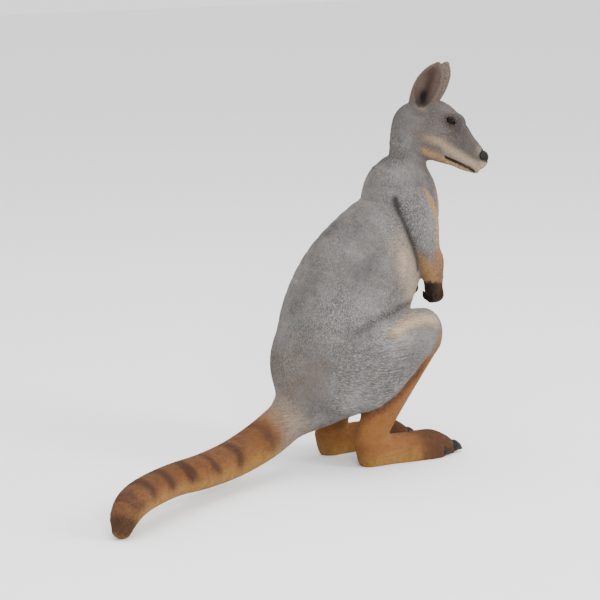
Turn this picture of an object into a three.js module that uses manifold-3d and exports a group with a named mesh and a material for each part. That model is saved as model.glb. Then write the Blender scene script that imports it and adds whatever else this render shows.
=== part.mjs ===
// A life-size statue of a rock wallaby in painted cast resin. It sits upright on its hind feet, with
// its forearms hanging in front of its chest, its head turned to its right and its tail's tip on the floor.
// Millimetres. +Z is up, the animal faces +X, its left is +Y, and the floor is Z = 0.
//
// The body is one smooth field of distances, made of limbs: tubes of oval sections along a smooth line.
// The field is turned into a skin of triangles, and thin straight cuts part that skin into named pieces.
import * as THREE from 'three';
import Module from 'manifold-3d';

const wasm = await Module();
wasm.setup();

// ---------------------------------------------------------------- driving sizes
const CUT = 0.4; // width of the thin cuts between two pieces
const FLOOR = 0; // soles and tail tip are flat at this level
const MIDDLE = [-146.2, -41.2]; // middle of the plan outline, measured from near the right heel
const LEFT_BACK = 16; // the left hind leg stands this far behind the right one

const HEAD = { at: [122, -14, 508], turn: -47, nod: 13.5, tilt: 5 }; // middle of the skull, and degrees
const EYE = { at: [47, 21.5, 23], radius: 8.5 }; // forward, out and up from the middle of the skull
const NOSE = { at: [107, 0, -18], size: [8.5, 9, 8.5] };
const FINGERS = { count: 5, first: 22, pitch: 6, at: 144, thick: 2.9 };

// ---------------------------------------------------------------- small vector sums
const mix = THREE.MathUtils.lerp;
const clamp = THREE.MathUtils.clamp;
const radians = THREE.MathUtils.degToRad;
const dot = (a, b) => a[0] * b[0] + a[1] * b[1] + a[2] * b[2];
const cross = (a, b) => [a[1] * b[2] - a[2] * b[1], a[2] * b[0] - a[0] * b[2], a[0] * b[1] - a[1] * b[0]];
const unit = (a) => a.map((v) => v / Math.hypot(...a));

// ---------------------------------------------------------------- the field's building blocks
const FAR = 32; // a limb farther off than this is measured by its box alone

// Joins two distances with a fillet about as wide as k.
function blend(a, b, k) {
  const h = Math.max(k - Math.abs(a - b), 0) / k;
  return Math.min(a, b) - (h * h * k) / 4;
}

// Cuts the shape b out of the shape a, with an edge rounded by k.
const carve = (a, b, k) => -blend(-a, b, k);

// Distance to an oval ball, from the offset to its middle and its three half sizes.
function oval(x, y, z, rx, ry, rz) {
  const share = Math.hypot(x / rx, y / ry, z / rz);
  return share > 1e-6 ? Math.hypot(x, y, z) * (1 - 1 / share) : -Math.min(rx, ry, rz);
}

// A lump at a place, with its three half sizes.
const lump = (at, size) => (x, y, z) => oval(x - at[0], y - at[1], z - at[2], ...size);

// A tube of oval sections. Each station is [x, y, z, wide, deep]: wide is the half size along `across`,
// deep is the half size square to it, and the ends are round.
function limb(stations, across = [0, 1, 0], stepsPerSpan = 4) {
  const smooth = (points) => {
    const through = points.map((p) => new THREE.Vector3(...p));
    return new THREE.CatmullRomCurve3(through, false, 'catmullrom');
  };
  const line = smooth(stations.map((s) => s.slice(0, 3)));
  const size = smooth(stations.map((s) => [s[3], s[4], 0]));
  const steps = (stations.length - 1) * stepsPerSpan;
  const spans = [];
  for (let i = 0; i < steps; i++) {
    const a = line.getPoint(i / steps).toArray();
    const b = line.getPoint((i + 1) / steps).toArray();
    const run = [b[0] - a[0], b[1] - a[1], b[2] - a[2]];
    const along = unit(run);
    const side = unit(across.map((v, k) => v - along[k] * dot(across, along)));
    const ends = { from: size.getPoint(i / steps), to: size.getPoint((i + 1) / steps) };
    spans.push({ a, run, length2: dot(run, run), along, side, up: cross(along, side), ...ends });
  }
  const box = new THREE.Box3().setFromPoints(line.getPoints(steps));
  box.expandByScalar(Math.max(...stations.map((s) => Math.max(s[3], s[4]))));
  return (x, y, z) => {
    const away = Math.hypot(
      Math.max(box.min.x - x, x - box.max.x, 0),
      Math.max(box.min.y - y, y - box.max.y, 0),
      Math.max(box.min.z - z, z - box.max.z, 0),
    );
    if (away > FAR) return away;
    let nearest = Infinity;
    for (const s of spans) {
      const from = [x - s.a[0], y - s.a[1], z - s.a[2]];
      const t = clamp(dot(from, s.run) / s.length2, 0, 1);
      const v = [from[0] - t * s.run[0], from[1] - t * s.run[1], from[2] - t * s.run[2]];
      const wide = mix(s.from.x, s.to.x, t);
      const deep = mix(s.from.y, s.to.y, t);
      const d = oval(dot(v, s.side), dot(v, s.up), dot(v, s.along), wide, deep, (wide + deep) / 2);
      nearest = Math.min(nearest, d);
    }
    return nearest;
  };
}

// ---------------------------------------------------------------- trunk, neck and tail
const trunk = limb([
  [-59, 0, 116, 56, 48], // rump
  [-30, 0, 154, 78, 86], // hips
  [-8, 0, 212, 86, 101], // belly
  [14, 0, 268, 78, 97], // lower ribs
  [52, 0, 319, 67, 84], // ribs
  [95, 0, 370, 57, 63], // chest
  [95, 0, 400, 50, 63], // shoulders
  [94, 0, 411, 44, 54], // root of the neck
]);
const neck = limb([
  [94, -1, 428, 34, 40],
  [106, -4, 452, 26, 26],
  [107, -9, 485, 28, 32],
  [115, -13, 504, 30, 34],
]);
const tail = limb([
  [-70, 0, 102, 34, 36], // root
  [-110, -4, 79, 32, 32.5],
  [-160, -17, 58, 30, 31.5],
  [-222, -39, 45, 28, 29],
  [-290, -69, 43, 26, 26.5],
  [-355, -101, 48, 24.5, 24.5],
  [-413, -133, 48, 24.5, 24.3],
  [-448, -152, 42, 24, 24],
  [-467, -164, 30, 21, 21],
  [-477, -170, 14, 15, 15], // tip, cut flat by the floor
], [0.3, 1, 0]);

// ---------------------------------------------------------------- a hind leg, drawn on the +Y side
const thigh = limb([
  [-36, 44, 150, 44, 60], // hip
  [-8, 56, 157, 43, 68],
  [32, 66, 178, 37, 56],
  [70, 66, 198, 31, 44],
  [97, 64, 203, 28, 37.5], // knee
]);
const shank = limb([
  [104, 62, 188, 22, 24],
  [70, 55, 134, 20, 24],
  [33, 48, 82, 18, 29],
  [20, 45, 52, 18, 27],
  [17, 45, 34, 18, 27], // ankle
]);
const sole = limb([
  [17, 44, 18, 19, 27], // heel
  [50, 45, 18, 19, 27],
  [88, 48, 17, 22.5, 26],
  [110, 49, 16, 19, 23],
]);
const longToe = limb([
  [94, 48, 24, 14, 21],
  [120, 49, 23, 13, 21],
  [143, 50, 15, 12, 18.5],
  [160, 51, 8, 10, 13.5],
  [166, 51, 7, 8.5, 10.5],
]);
const outerToe = limb([
  [90, 57, 15, 11, 18],
  [112, 61, 14, 10.5, 19],
  [130, 62.5, 9, 9, 15],
  [140, 62.5, 7, 7, 10],
]);
const joinedToes = limb([
  [84, 34, 15, 9, 14],
  [106, 32, 12, 8, 13],
  [120, 32, 8, 7.5, 10.5],
  [128, 32, 6, 6.5, 7.5],
]);

// ---------------------------------------------------------------- an arm, drawn on the +Y side
const arm = limb([
  [90, 38, 399, 24, 32], // shoulder
  [97, 47, 382, 23, 33],
  [99, 52, 362, 21, 32],
  [103, 52, 340, 19, 29.5], // elbow
  [112, 48, 319, 18, 27],
  [124, 44, 302, 17, 24.5],
  [134, 38, 281, 13, 17], // wrist
]);
const palm = limb([
  [135, 37, 278, 13, 16],
  [137, 35, 262, 14, 15],
  [138, 34, 255, 13, 12],
]);
// Each finger hangs from the palm and curls back at its end: [x, y, z, radius].
const FINGER_LINES = Array.from({ length: FINGERS.count }, (_, i) => {
  const y = FINGERS.first + i * FINGERS.pitch;
  const drop = 2 - Math.abs(i - 2) * 1.5; // the middle finger hangs lowest
  const r = FINGERS.thick;
  return [
    [FINGERS.at, y, 262, r],
    [FINGERS.at + 1, y, 248 - drop, r * 1.1],
    [FINGERS.at - 6, y, 243 - drop, r],
    [FINGERS.at - 12, y, 244 - drop, r * 0.9],
  ];
});

// ---------------------------------------------------------------- the head, in its own frame
// Its axes are forward to the nose, out to the animal's left, and up to the crown.
function headAxes() {
  const turn = radians(HEAD.turn);
  const nod = radians(HEAD.nod);
  const tilt = radians(HEAD.tilt);
  const forward = [Math.cos(turn) * Math.cos(nod), Math.sin(turn) * Math.cos(nod), -Math.sin(nod)];
  const level = [-Math.sin(turn), Math.cos(turn), 0];
  const upright = cross(forward, level);
  const left = level.map((v, k) => v * Math.cos(tilt) - upright[k] * Math.sin(tilt));
  return { forward, left, up: cross(forward, left) };
}
const AXES = headAxes();
const headWay = (f, l, u) => [0, 1, 2].map((k) => f * AXES.forward[k] + l * AXES.left[k] + u * AXES.up[k]);
const headPoint = (f, l, u) => headWay(f, l, u).map((v, k) => v + HEAD.at[k]);

const skull = limb([
  [-8, 0, 2, 33, 36],
  [14, 0, 4, 35, 44],
  [26, 0, 3, 33.5, 43],
  [44, 0, -3, 28, 34],
]);
const muzzle = limb([
  [54, 0, -8, 24, 31],
  [74, 0, -14, 18.5, 25],
  [90, 0, -19, 15, 19.5],
  [101, 0, -23, 13, 15.5],
]);
const jaw = limb([
  [30, 0, -29, 20, 14],
  [60, 0, -33, 15, 9.5],
  [80, 0, -36.5, 12, 8.5],
  [99, 0, -39, 8, 6],
]);
const cheek = lump([26, 23, -15], [27, 12, 22]);
const orbit = lump([48, 16, 22], [17, 12, 14]);
const earShell = limb([
  [-5, 15, 30, 19, 13],
  [-3, 22, 50, 20.5, 13],
  [1, 28, 68, 20.5, 12],
  [6, 33, 86, 15.5, 9],
  [9, 36, 102, 6, 5],
], [1, 0, 0]);
const earHollow = limb([
  [-2, 26, 40, 8, 8],
  [-1, 31, 54, 14, 10],
  [2, 36, 70, 15.5, 9],
  [7, 40, 86, 10, 6],
  [9, 42, 98, 3, 3],
], [1, 0, 0]);

function head(x, y, z) {
  const v = [x - HEAD.at[0], y - HEAD.at[1], z - HEAD.at[2]];
  const p = [dot(v, AXES.forward), Math.abs(dot(v, AXES.left)), dot(v, AXES.up)];
  let d = blend(skull(...p), muzzle(...p), 14);
  d = blend(d, jaw(...p), 5);
  d = blend(d, cheek(...p), 14);
  d = blend(d, orbit(...p), 8);
  return blend(d, carve(earShell(...p), earHollow(...p), 3), 8);
}

// ---------------------------------------------------------------- the whole body
function leg(x, y, z) {
  let d = blend(thigh(x, y, z), shank(x, y, z), 5);
  d = blend(d, sole(x, y, z), 10);
  d = blend(d, longToe(x, y, z), 5);
  d = blend(d, outerToe(x, y, z), 3);
  return blend(d, joinedToes(x, y, z), 3);
}

const foreleg = (x, y, z) => blend(arm(x, y, z), palm(x, y, z), 5);

// Everything but the arms.
function torso(x, y, z) {
  let d = blend(trunk(x, y, z), neck(x, y, z), 24);
  d = blend(d, tail(x, y, z), 30);
  const crease = mix(24, 7, clamp((x + 50) / 100, 0, 1)); // the haunch melts in, the knee stands clear
  d = blend(d, leg(x, -y, z), crease);
  d = blend(d, leg(x + LEFT_BACK, y, z), crease);
  return blend(d, head(x, y, z), 12);
}

// ---------------------------------------------------------------- from a field to a closed solid
// Each cell of the grid has 8 corners, numbered by bits: 1 for x, 2 for y and 4 for z.
const CORNERS = Array.from({ length: 8 }, (_, c) => [c & 1, (c >> 1) & 1, (c >> 2) & 1]);
const EDGES = [0, 1, 2].flatMap((q) => {
  const near = [0, 1, 2, 3, 4, 5, 6, 7].filter((c) => !(c & (1 << q)));
  return near.map((c) => [c, c | (1 << q)]);
});
const edgeNumber = (a, b) => EDGES.findIndex((e) => e[0] === Math.min(a, b) && e[1] === Math.max(a, b));
const FACES = [0, 1, 2].flatMap((q) => [0, 1 << q].map((base) => {
  const [s, t] = [1 << ((q + 1) % 3), 1 << ((q + 2) % 3)];
  const corners = [base, base | s, base | s | t, base | t];
  return { corners, edges: corners.map((c, i) => edgeNumber(c, corners[(i + 1) % 4])) };
}));

// Groups a cell's crossed edges into loops, so that two sheets of skin in one cell stay apart.
function loopsIn(inside) {
  const loop = EDGES.map((_, e) => e);
  const join = (a, b) => {
    const [from, to] = [loop[a], loop[b]];
    loop.forEach((l, e) => {
      if (l === from) loop[e] = to;
    });
  };
  for (const { corners, edges } of FACES) {
    const crossed = edges.filter((e) => inside[EDGES[e][0]] !== inside[EDGES[e][1]]);
    if (crossed.length === 2) join(...crossed);
    if (crossed.length < 4) continue;
    const first = inside[corners[0]] ? 3 : 0;
    join(edges[first], edges[(first + 1) % 4]);
    join(edges[(first + 2) % 4], edges[(first + 3) % 4]);
  }
  return loop;
}

// Surface nets: one vertex for each loop of skin in a cell, and one quad round each crossed edge.
function skinOf(field, box, cell) {
  const count = ['x', 'y', 'z'].map((k) => Math.ceil((box.max[k] - box.min[k]) / cell) + 3);
  const start = ['x', 'y', 'z'].map((k) => box.min[k] - cell);
  const at = (i, j, k) => i + count[0] * (j + count[1] * k);
  const steps = [at(1, 0, 0), at(0, 1, 0), at(0, 0, 1)];
  const place = (i, j, k) => [start[0] + i * cell, start[1] + j * cell, start[2] + k * cell];
  const each = (low, visit) => {
    for (let k = low; k < count[2] - 1; k++)
      for (let j = low; j < count[1] - 1; j++)
        for (let i = low; i < count[0] - 1; i++) visit(i, j, k);
  };
  const values = new Float32Array(count[0] * count[1] * count[2]).fill(1);
  each(1, (i, j, k) => {
    values[at(i, j, k)] = field(...place(i, j, k)) || 1e-4;
  });
  const vertices = [];
  const vertexOf = new Map(); // from a cell's number and its edge's number
  each(0, (i, j, k) => {
    const v = CORNERS.map((c) => values[at(i + c[0], j + c[1], k + c[2])]);
    const inside = v.map((d) => d < 0);
    const crossed = EDGES.map((_, e) => e).filter((e) => inside[EDGES[e][0]] !== inside[EDGES[e][1]]);
    if (!crossed.length) return;
    const loop = loopsIn(inside);
    for (const name of new Set(crossed.map((e) => loop[e]))) {
      const mine = crossed.filter((e) => loop[e] === name);
      const sum = [0, 0, 0];
      for (const e of mine) {
        const [a, b] = EDGES[e];
        const t = v[a] / (v[a] - v[b]);
        for (let q = 0; q < 3; q++) sum[q] += mix(CORNERS[a][q], CORNERS[b][q], t);
        vertexOf.set(at(i, j, k) * 12 + e, vertices.length / 3);
      }
      const middle = place(i, j, k).map((c, q) => c + (sum[q] / mine.length) * cell);
      vertices.push(...settled(field, middle, cell));
    }
  });
  const triangles = [];
  each(0, (i, j, k) => {
    const here = at(i, j, k);
    for (let q = 0; q < 3; q++) {
      const inside = values[here] < 0;
      if (inside === values[here + steps[q]] < 0) continue;
      const [s, t] = [(q + 1) % 3, (q + 2) % 3];
      const ring = [0, 1 << s, (1 << s) | (1 << t), 1 << t].map((corner) => {
        const cellHere = here - (corner & (1 << s) ? steps[s] : 0) - (corner & (1 << t) ? steps[t] : 0);
        return vertexOf.get(cellHere * 12 + edgeNumber(corner, corner | (1 << q)));
      });
      if (!inside) ring.reverse();
      triangles.push(ring[0], ring[1], ring[2], ring[0], ring[2], ring[3]);
    }
  });
  return { vertices, triangles };
}

// Moves a vertex onto the skin down the field's slope, by half a cell at most.
function settled(field, p, cell) {
  const e = 0.25;
  let q = p;
  for (let round = 0; round < 2; round++) {
    const slope = [0, 1, 2].map((k) => {
      const ahead = field(...q.map((c, m) => (m === k ? c + e : c)));
      const behind = field(...q.map((c, m) => (m === k ? c - e : c)));
      return (ahead - behind) / (2 * e);
    });
    const steep = dot(slope, slope);
    if (steep < 0.04) return p;
    const d = field(...q);
    q = q.map((c, k) => c - (d * slope[k]) / steep);
  }
  return Math.hypot(...q.map((c, k) => c - p[k])) < cell / 2 ? q : p;
}

function solid({ vertices, triangles }) {
  const vertProperties = new Float32Array(vertices);
  const triVerts = new Uint32Array(triangles);
  return new wasm.Manifold(new wasm.Mesh({ numProp: 3, vertProperties, triVerts }));
}

// The same skin with every vertex moved out by `by` along the skin's own normal.
function grown({ vertices, triangles }, by) {
  const geometry = new THREE.BufferGeometry();
  geometry.setAttribute('position', new THREE.BufferAttribute(new Float32Array(vertices), 3));
  geometry.setIndex(triangles);
  geometry.computeVertexNormals();
  const normals = geometry.attributes.normal.array;
  return { vertices: vertices.map((v, k) => v + by * normals[k]), triangles };
}

// A closed skin from rings of equal length, each a list of points, with a point at either end.
function loft(first, rings, last) {
  const n = rings[0].length;
  const vertices = [first, ...rings.flat(), last].flat();
  const end = rings.length * n + 1;
  const triangles = [];
  for (let i = 0; i < n; i++) {
    const j = (i + 1) % n;
    triangles.push(0, 1 + j, 1 + i);
    for (let r = 0; r < rings.length - 1; r++) {
      const [a, b, c, d] = [r * n + i, r * n + j, (r + 1) * n + j, (r + 1) * n + i].map((v) => v + 1);
      triangles.push(a, b, c, a, c, d);
    }
    triangles.push(end, end - n + i, end - n + j);
  }
  return { vertices, triangles };
}

// A finger or a claw: round rings along a line of points, [x, y, z, radius].
function taper(stations, sides) {
  const at = stations.map((s) => s.slice(0, 3));
  const rings = stations.map((s, i) => {
    const next = at[Math.min(i + 1, at.length - 1)];
    const last = at[Math.max(i - 1, 0)];
    const along = unit(next.map((v, k) => v - last[k]));
    const side = unit(cross([0, 0, 1], along));
    const up = cross(along, side);
    return Array.from({ length: sides }, (_, q) => {
      const a = (2 * Math.PI * q) / sides;
      return at[i].map((c, k) => c + s[3] * (Math.cos(a) * side[k] + Math.sin(a) * up[k]));
    });
  });
  const tip = at.at(-1).map((c, k) => c + (c - at.at(-2)[k]) * 0.25);
  return loft(at[0], rings, tip);
}

// An oval ball in the head's frame.
function ball(at, size, rows) {
  const columns = rows * 2;
  const point = (polar, around) => headPoint(
    at[0] + size[0] * Math.cos(polar),
    at[1] + size[1] * Math.sin(polar) * Math.cos(around),
    at[2] + size[2] * Math.sin(polar) * Math.sin(around),
  );
  const rings = Array.from({ length: rows - 1 }, (_, r) => {
    const polar = Math.PI * (1 - (r + 1) / rows);
    return Array.from({ length: columns }, (_, c) => point(polar, (2 * Math.PI * c) / columns));
  });
  return loft(point(Math.PI, 0), rings, point(0, 0));
}

// ---------------------------------------------------------------- cutting the skin into pieces
// A block of space, or a drum of oval section: `from` is the middle of one end, and it goes along `along`.
function block({ from, along, spin = 0, size, round = false }) {
  const zAxis = new THREE.Vector3(0, 0, 1);
  const turned = new THREE.Quaternion().setFromUnitVectors(zAxis, new THREE.Vector3(...unit(along)));
  turned.multiply(new THREE.Quaternion().setFromAxisAngle(zAxis, radians(spin)));
  const drum = () => new THREE.CylinderGeometry(0.5, 0.5, 1, 40).rotateX(Math.PI / 2);
  return (grow) => {
    const shape = round ? drum() : new THREE.BoxGeometry(1, 1, 1);
    shape.scale(...size.map((s) => s + 2 * grow));
    return shape.translate(0, 0, size[2] / 2).applyQuaternion(turned).translate(...from);
  };
}

function blockSolid(geometry) {
  const corners = [];
  const numberOf = new Map();
  const p = geometry.attributes.position;
  const triangles = Array.from(geometry.index.array, (v) => {
    const key = [p.getX(v), p.getY(v), p.getZ(v)].map((c) => c.toFixed(3)).join();
    if (!numberOf.has(key)) {
      numberOf.set(key, corners.length / 3);
      corners.push(p.getX(v), p.getY(v), p.getZ(v));
    }
    return numberOf.get(key);
  });
  return solid({ vertices: corners, triangles });
}

const group = new THREE.Group();
const taken = []; // space already given to a piece, each a list of blocks that all hold it

function addMesh(name, shape, colour, roughness) {
  const { vertProperties, triVerts } = shape.getMesh();
  const geometry = new THREE.BufferGeometry();
  geometry.setAttribute('position', new THREE.BufferAttribute(new Float32Array(vertProperties), 3));
  geometry.setIndex(new THREE.BufferAttribute(new Uint32Array(triVerts), 1));
  geometry.translate(-MIDDLE[0], -MIDDLE[1], -FLOOR);
  const flat = geometry.toNonIndexed();
  flat.computeVertexNormals();
  const paint = new THREE.MeshStandardMaterial({ color: colour, roughness, metalness: 0 });
  const mesh = new THREE.Mesh(flat, paint);
  mesh.name = name;
  group.add(mesh);
}

// Cuts one piece out of a skin: what lies in all of its blocks and in no block taken before.
function addPiece({ name, space, cell, colour, field = torso, without = [] }) {
  const box = new THREE.Box3();
  space.forEach((b, i) => {
    const geometry = b(0);
    geometry.computeBoundingBox();
    if (i) box.intersect(geometry.boundingBox);
    else box.copy(geometry.boundingBox);
  });
  box.intersect(REACH).expandByScalar(cell);
  let shape = solid(skinOf(field, box, cell));
  for (const b of space) shape = shape.intersect(blockSolid(b(0)));
  for (const blocks of taken) {
    const grownBlocks = blocks.map((b) => blockSolid(b(CUT)));
    shape = shape.subtract(grownBlocks.reduce((a, b) => a.intersect(b)));
  }
  for (const other of without) shape = shape.subtract(other);
  addMesh(name, shape, colour, 0.8);
  taken.push(space);
}

const REACH = new THREE.Box3(new THREE.Vector3(-510, -210, -16), new THREE.Vector3(220, 130, 650));
const COLOUR = {
  back: 0x7d7976, thigh: 0x7f7c79, tail: 0x8f6a45, tailEnd: 0x8a5f3a, shank: 0x9b6c3f, foot: 0x8f6640,
  arm: 0x85807c, forearm: 0xa0713f, hand: 0x3a2824, claw: 0x17151a, head: 0x7e7870, ear: 0x6d5f57,
  eye: 0x0d0a09, nose: 0x111014,
};

// Eyes, nose and claws are solids of their own, let into what they grow from.
const letIn = { head: [], foot_left: [], foot_right: [], hand_left: [], hand_right: [] };
function addHard(name, skin, colour, roughness, host) {
  addMesh(name, solid(skin), colour, roughness);
  letIn[host].push(solid(grown(skin, CUT)));
}

for (const [side, s] of [['left', 1], ['right', -1]]) {
  const [f, l, u] = EYE.at;
  const r = EYE.radius;
  addHard(`eye_${side}`, ball([f, s * l, u], [r, r, r], 5), COLOUR.eye, 0.08, 'head');
}
addHard('nose', ball(NOSE.at, NOSE.size, 6), COLOUR.nose, 0.25, 'head');

const TOE_CLAWS = {
  long: [[157, 51, 12, 7.5], [166, 51, 10.8, 9.8], [175, 51, 8.4, 6.8], [183, 51, 4.2, 2.1]],
  outer: [[132, 62.5, 9.5, 5], [139, 62.5, 8.6, 7.5], [147, 62.3, 6.4, 4.8], [155, 61.5, 3.5, 1.5]],
  third: [[124, 34.5, 8.5, 2.4], [131, 34.5, 8, 2.6], [136, 34.5, 5.5, 1.8], [139, 34.5, 3.4, 0.8]],
  second: [[124, 29, 8, 2.4], [130, 29, 7.5, 2.5], [135, 29, 5.2, 1.7], [138, 29, 3.2, 0.8]],
};
for (const [side, s] of [['left', 1], ['right', -1]]) {
  const back = s > 0 ? LEFT_BACK : 0;
  for (const [toe, stations] of Object.entries(TOE_CLAWS)) {
    const placed = stations.map(([x, y, z, r]) => [x - back, s * y, z, r]);
    addHard(`claw_${toe}_toe_${side}`, taper(placed, 6), COLOUR.claw, 0.3, `foot_${side}`);
  }
  for (let i = 0; i < FINGERS.count; i++) {
    const y = s * (FINGERS.first + i * FINGERS.pitch);
    const [x, , z] = FINGER_LINES[i].at(-1);
    const placed = [[x + 2, y, z, 1.4], [x - 5, y, z + 1.5, 0.9]];
    addHard(`claw_finger_${i + 1}_${side}`, taper(placed, 5), COLOUR.claw, 0.3, `hand_${side}`);
  }
}

// Ears, head and neck, from the top down.
for (const [side, s] of [['left', 1], ['right', -1]]) {
  const root = headPoint(-2, s * 18, 45);
  const lean = headWay(0, s * 0.34, 0.94);
  const space = [block({ from: root, along: lean, spin: HEAD.turn, size: [76, 50, 90] })];
  addPiece({ name: `ear_${side}`, space, cell: 7, colour: COLOUR.ear });
}
const overNeck = block({ from: [100, -10, 463], along: [0.29, 0, 1], size: [420, 320, 240] });
addPiece({ name: 'head', space: [overNeck], cell: 12, colour: COLOUR.head, without: letIn.head });

// The arms lie on the chest as whole limbs, cut across at the elbow and the wrist.
const ARM_CELLS = { hand: 12, forearm: 13, upper_arm: 16 };
const ARM_COLOURS = { hand: COLOUR.hand, forearm: COLOUR.forearm, upper_arm: COLOUR.arm };
const armSkins = [];
for (const [side, s] of [['left', 1], ['right', -1]]) {
  const field = (x, y, z) => foreleg(x, s * y, z);
  const box = new THREE.Box3().setFromArray([40, s * 8, 230, 170, s * 84, 450]);
  const lengths = {
    hand: block({ from: [133, s * 38, 281], along: [0.25, 0, -1], size: [90, 70, 60] }),
    forearm: block({ from: [112, s * 50, 326], along: [0.4, 0, -1], size: [110, 80, 90] }),
    upper_arm: block({ from: [112, s * 50, 310], along: [-0.25, 0, 1], size: [140, 90, 140] }),
  };
  const held = [];
  for (const [length, space] of Object.entries(lengths)) {
    const name = `${length}_${side}`;
    const skin = skinOf(field, box, ARM_CELLS[length]);
    let shape = solid(skin);
    armSkins.push(solid(grown(skin, CUT)).intersect(blockSolid(space(CUT))));
    if (length === 'hand') {
      for (const line of FINGER_LINES) {
        const finger = taper(line.map(([x, y, z, r]) => [x, s * y, z, r]), 5);
        shape = shape.add(solid(finger));
      }
    }
    shape = shape.intersect(blockSolid(space(0)));
    for (const other of held) shape = shape.subtract(blockSolid(other(CUT)));
    for (const other of letIn[name] ?? []) shape = shape.subtract(other);
    addMesh(name, shape, ARM_COLOURS[length], 0.8);
    held.push(space);
  }
}
const underHead = block({ from: [90, 0, 436], along: [0.21, 0, 1], size: [420, 320, 100] });
addPiece({ name: 'neck', space: [underHead], cell: 17, colour: COLOUR.back, without: armSkins });

const overFloor = block({ from: [-130, -40, FLOOR], along: [0, 0, 1], size: [800, 360, 700] });

// The tail, from its tip up.
const TAIL_CUTS = [
  { name: 'tail_tip', from: [-372, -110, 46], along: [-0.9, -0.45, 0], cell: 15, colour: COLOUR.tailEnd },
  { name: 'tail_middle', from: [-240, -46, 43], along: [-0.9, -0.38, 0], cell: 18, colour: COLOUR.tail },
  { name: 'tail_base', from: [-112, -5, 76], along: [-0.88, -0.12, -0.42], cell: 19, colour: COLOUR.tail },
];
for (const { name, from, along, cell, colour } of TAIL_CUTS) {
  addPiece({ name, space: [block({ from, along, size: [240, 240, 420] }), overFloor], cell, colour });
}

// The hind legs, from the feet up.
for (const [side, s] of [['left', 1], ['right', -1]]) {
  const back = s > 0 ? LEFT_BACK : 0;
  const at = (x, y, z) => [x - back, s * y, z];
  const ankle = block({ from: at(90, 50, 52), along: [0, 0, -1], size: [230, 90, 80] });
  const aboveAnkle = block({ from: at(66, 61, 40), along: [0, 0, 1], size: [156, 76, 160] });
  const underKnee = block({ from: at(50, 57, 138), along: [0.44, 0, -0.9], size: [420, 90, 300] });
  const haunch = block({
    from: at(12, 45, 168), along: [0.1, s, 0], spin: s * -26, size: [302, 166, 90], round: true,
  });
  const foot = `foot_${side}`;
  addPiece({ name: foot, space: [ankle, overFloor], cell: 14.5, colour: COLOUR.foot, without: letIn[foot] });
  addPiece({ name: `shank_${side}`, space: [aboveAnkle, underKnee], cell: 17, colour: COLOUR.shank });
  addPiece({ name: `thigh_${side}`, space: [haunch], cell: 24, colour: COLOUR.thigh });
}
const everywhere = block({ from: [-30, 0, 30], along: [0, 0, 1], size: [420, 320, 450] });
addPiece({ name: 'trunk', space: [everywhere], cell: 34, colour: COLOUR.back, without: armSkins });

export default group;
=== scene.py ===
# %% [markdown]
# # A painted rock wallaby, cast in resin
# The real object is a life-size garden figure: one hollow casting whose hair was cut into the clay
# before the mould was made, then painted with an airbrush and fine brushes. The eyes and the nose
# are gloss, the claws are satin and all the rest is matt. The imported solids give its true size, and
# every piece below is built over them in the same frame.

# %% Load the solids
from types import SimpleNamespace
import bmesh
import bpy
import numpy as np
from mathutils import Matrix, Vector


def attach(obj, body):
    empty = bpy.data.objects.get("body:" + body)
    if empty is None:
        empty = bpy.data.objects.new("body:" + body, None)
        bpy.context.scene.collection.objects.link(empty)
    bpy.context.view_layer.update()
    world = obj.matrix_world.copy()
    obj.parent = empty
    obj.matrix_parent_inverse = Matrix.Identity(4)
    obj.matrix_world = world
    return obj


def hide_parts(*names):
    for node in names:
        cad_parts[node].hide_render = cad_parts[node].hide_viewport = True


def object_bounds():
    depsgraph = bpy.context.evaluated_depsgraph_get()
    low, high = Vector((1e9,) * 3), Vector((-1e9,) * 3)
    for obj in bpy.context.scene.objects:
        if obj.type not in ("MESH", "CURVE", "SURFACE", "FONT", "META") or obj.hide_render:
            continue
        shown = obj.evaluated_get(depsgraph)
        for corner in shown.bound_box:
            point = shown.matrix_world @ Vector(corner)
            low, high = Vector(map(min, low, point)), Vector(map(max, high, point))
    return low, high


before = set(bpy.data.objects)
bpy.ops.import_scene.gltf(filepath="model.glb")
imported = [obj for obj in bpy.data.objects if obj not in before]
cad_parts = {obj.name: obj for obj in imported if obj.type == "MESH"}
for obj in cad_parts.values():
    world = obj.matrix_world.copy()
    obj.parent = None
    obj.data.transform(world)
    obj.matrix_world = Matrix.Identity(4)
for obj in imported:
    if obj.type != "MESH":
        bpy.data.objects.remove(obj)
solid_box = [list(corner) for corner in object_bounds()]
print("solids span", [[round(v, 4) for v in corner] for corner in solid_box])

# %% [markdown]
# ## The form as a field of distances
# A smooth animal could be sculpted, or lofted tube by tube and then joined. Here the whole body is
# one function that gives the distance to the skin from any point. Tubes of oval sections, the limbs,
# melt into each other with a fillet, so a joint needs no hand-made seam. Sizes are in millimetres,
# from a point on the floor near the right heel, with the same numbers as the solids have.

# %% Small sums on many points at once
MIDDLE = np.array([-146.2, -41.2, 0.0])  # middle of the plan outline
COAT = 0.7  # how far the skin lies inside the solids, for the locks that stand on it
FAR = 32.0  # a limb farther off than this is measured by its box alone


def to_metres(points):
    return (points - MIDDLE) / 1000


def dots(a, b):
    return np.einsum("...k,...k->...", a, b)


def unit(v):
    return v / np.maximum(np.linalg.norm(v, axis=-1, keepdims=True), 1e-9)


def melt(a, b, k):
    h = np.maximum(k - np.abs(a - b), 0) / k
    return np.minimum(a, b) - h * h * k / 4


def carve(a, b, k):
    return -melt(-a, b, k)


def soft(value, low, high):
    t = np.clip((value - low) / (high - low), 0, 1)
    return t * t * (3 - 2 * t)


def oval(x, y, z, rx, ry, rz):
    share = np.sqrt((x / rx) ** 2 + (y / ry) ** 2 + (z / rz) ** 2)
    return np.sqrt(x * x + y * y + z * z) * (1 - 1 / np.maximum(share, 1e-4))


print("two forms that touch melt", round(float(-melt(0.0, 0.0, 24)), 1), "mm outwards at a fillet of 24")

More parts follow.
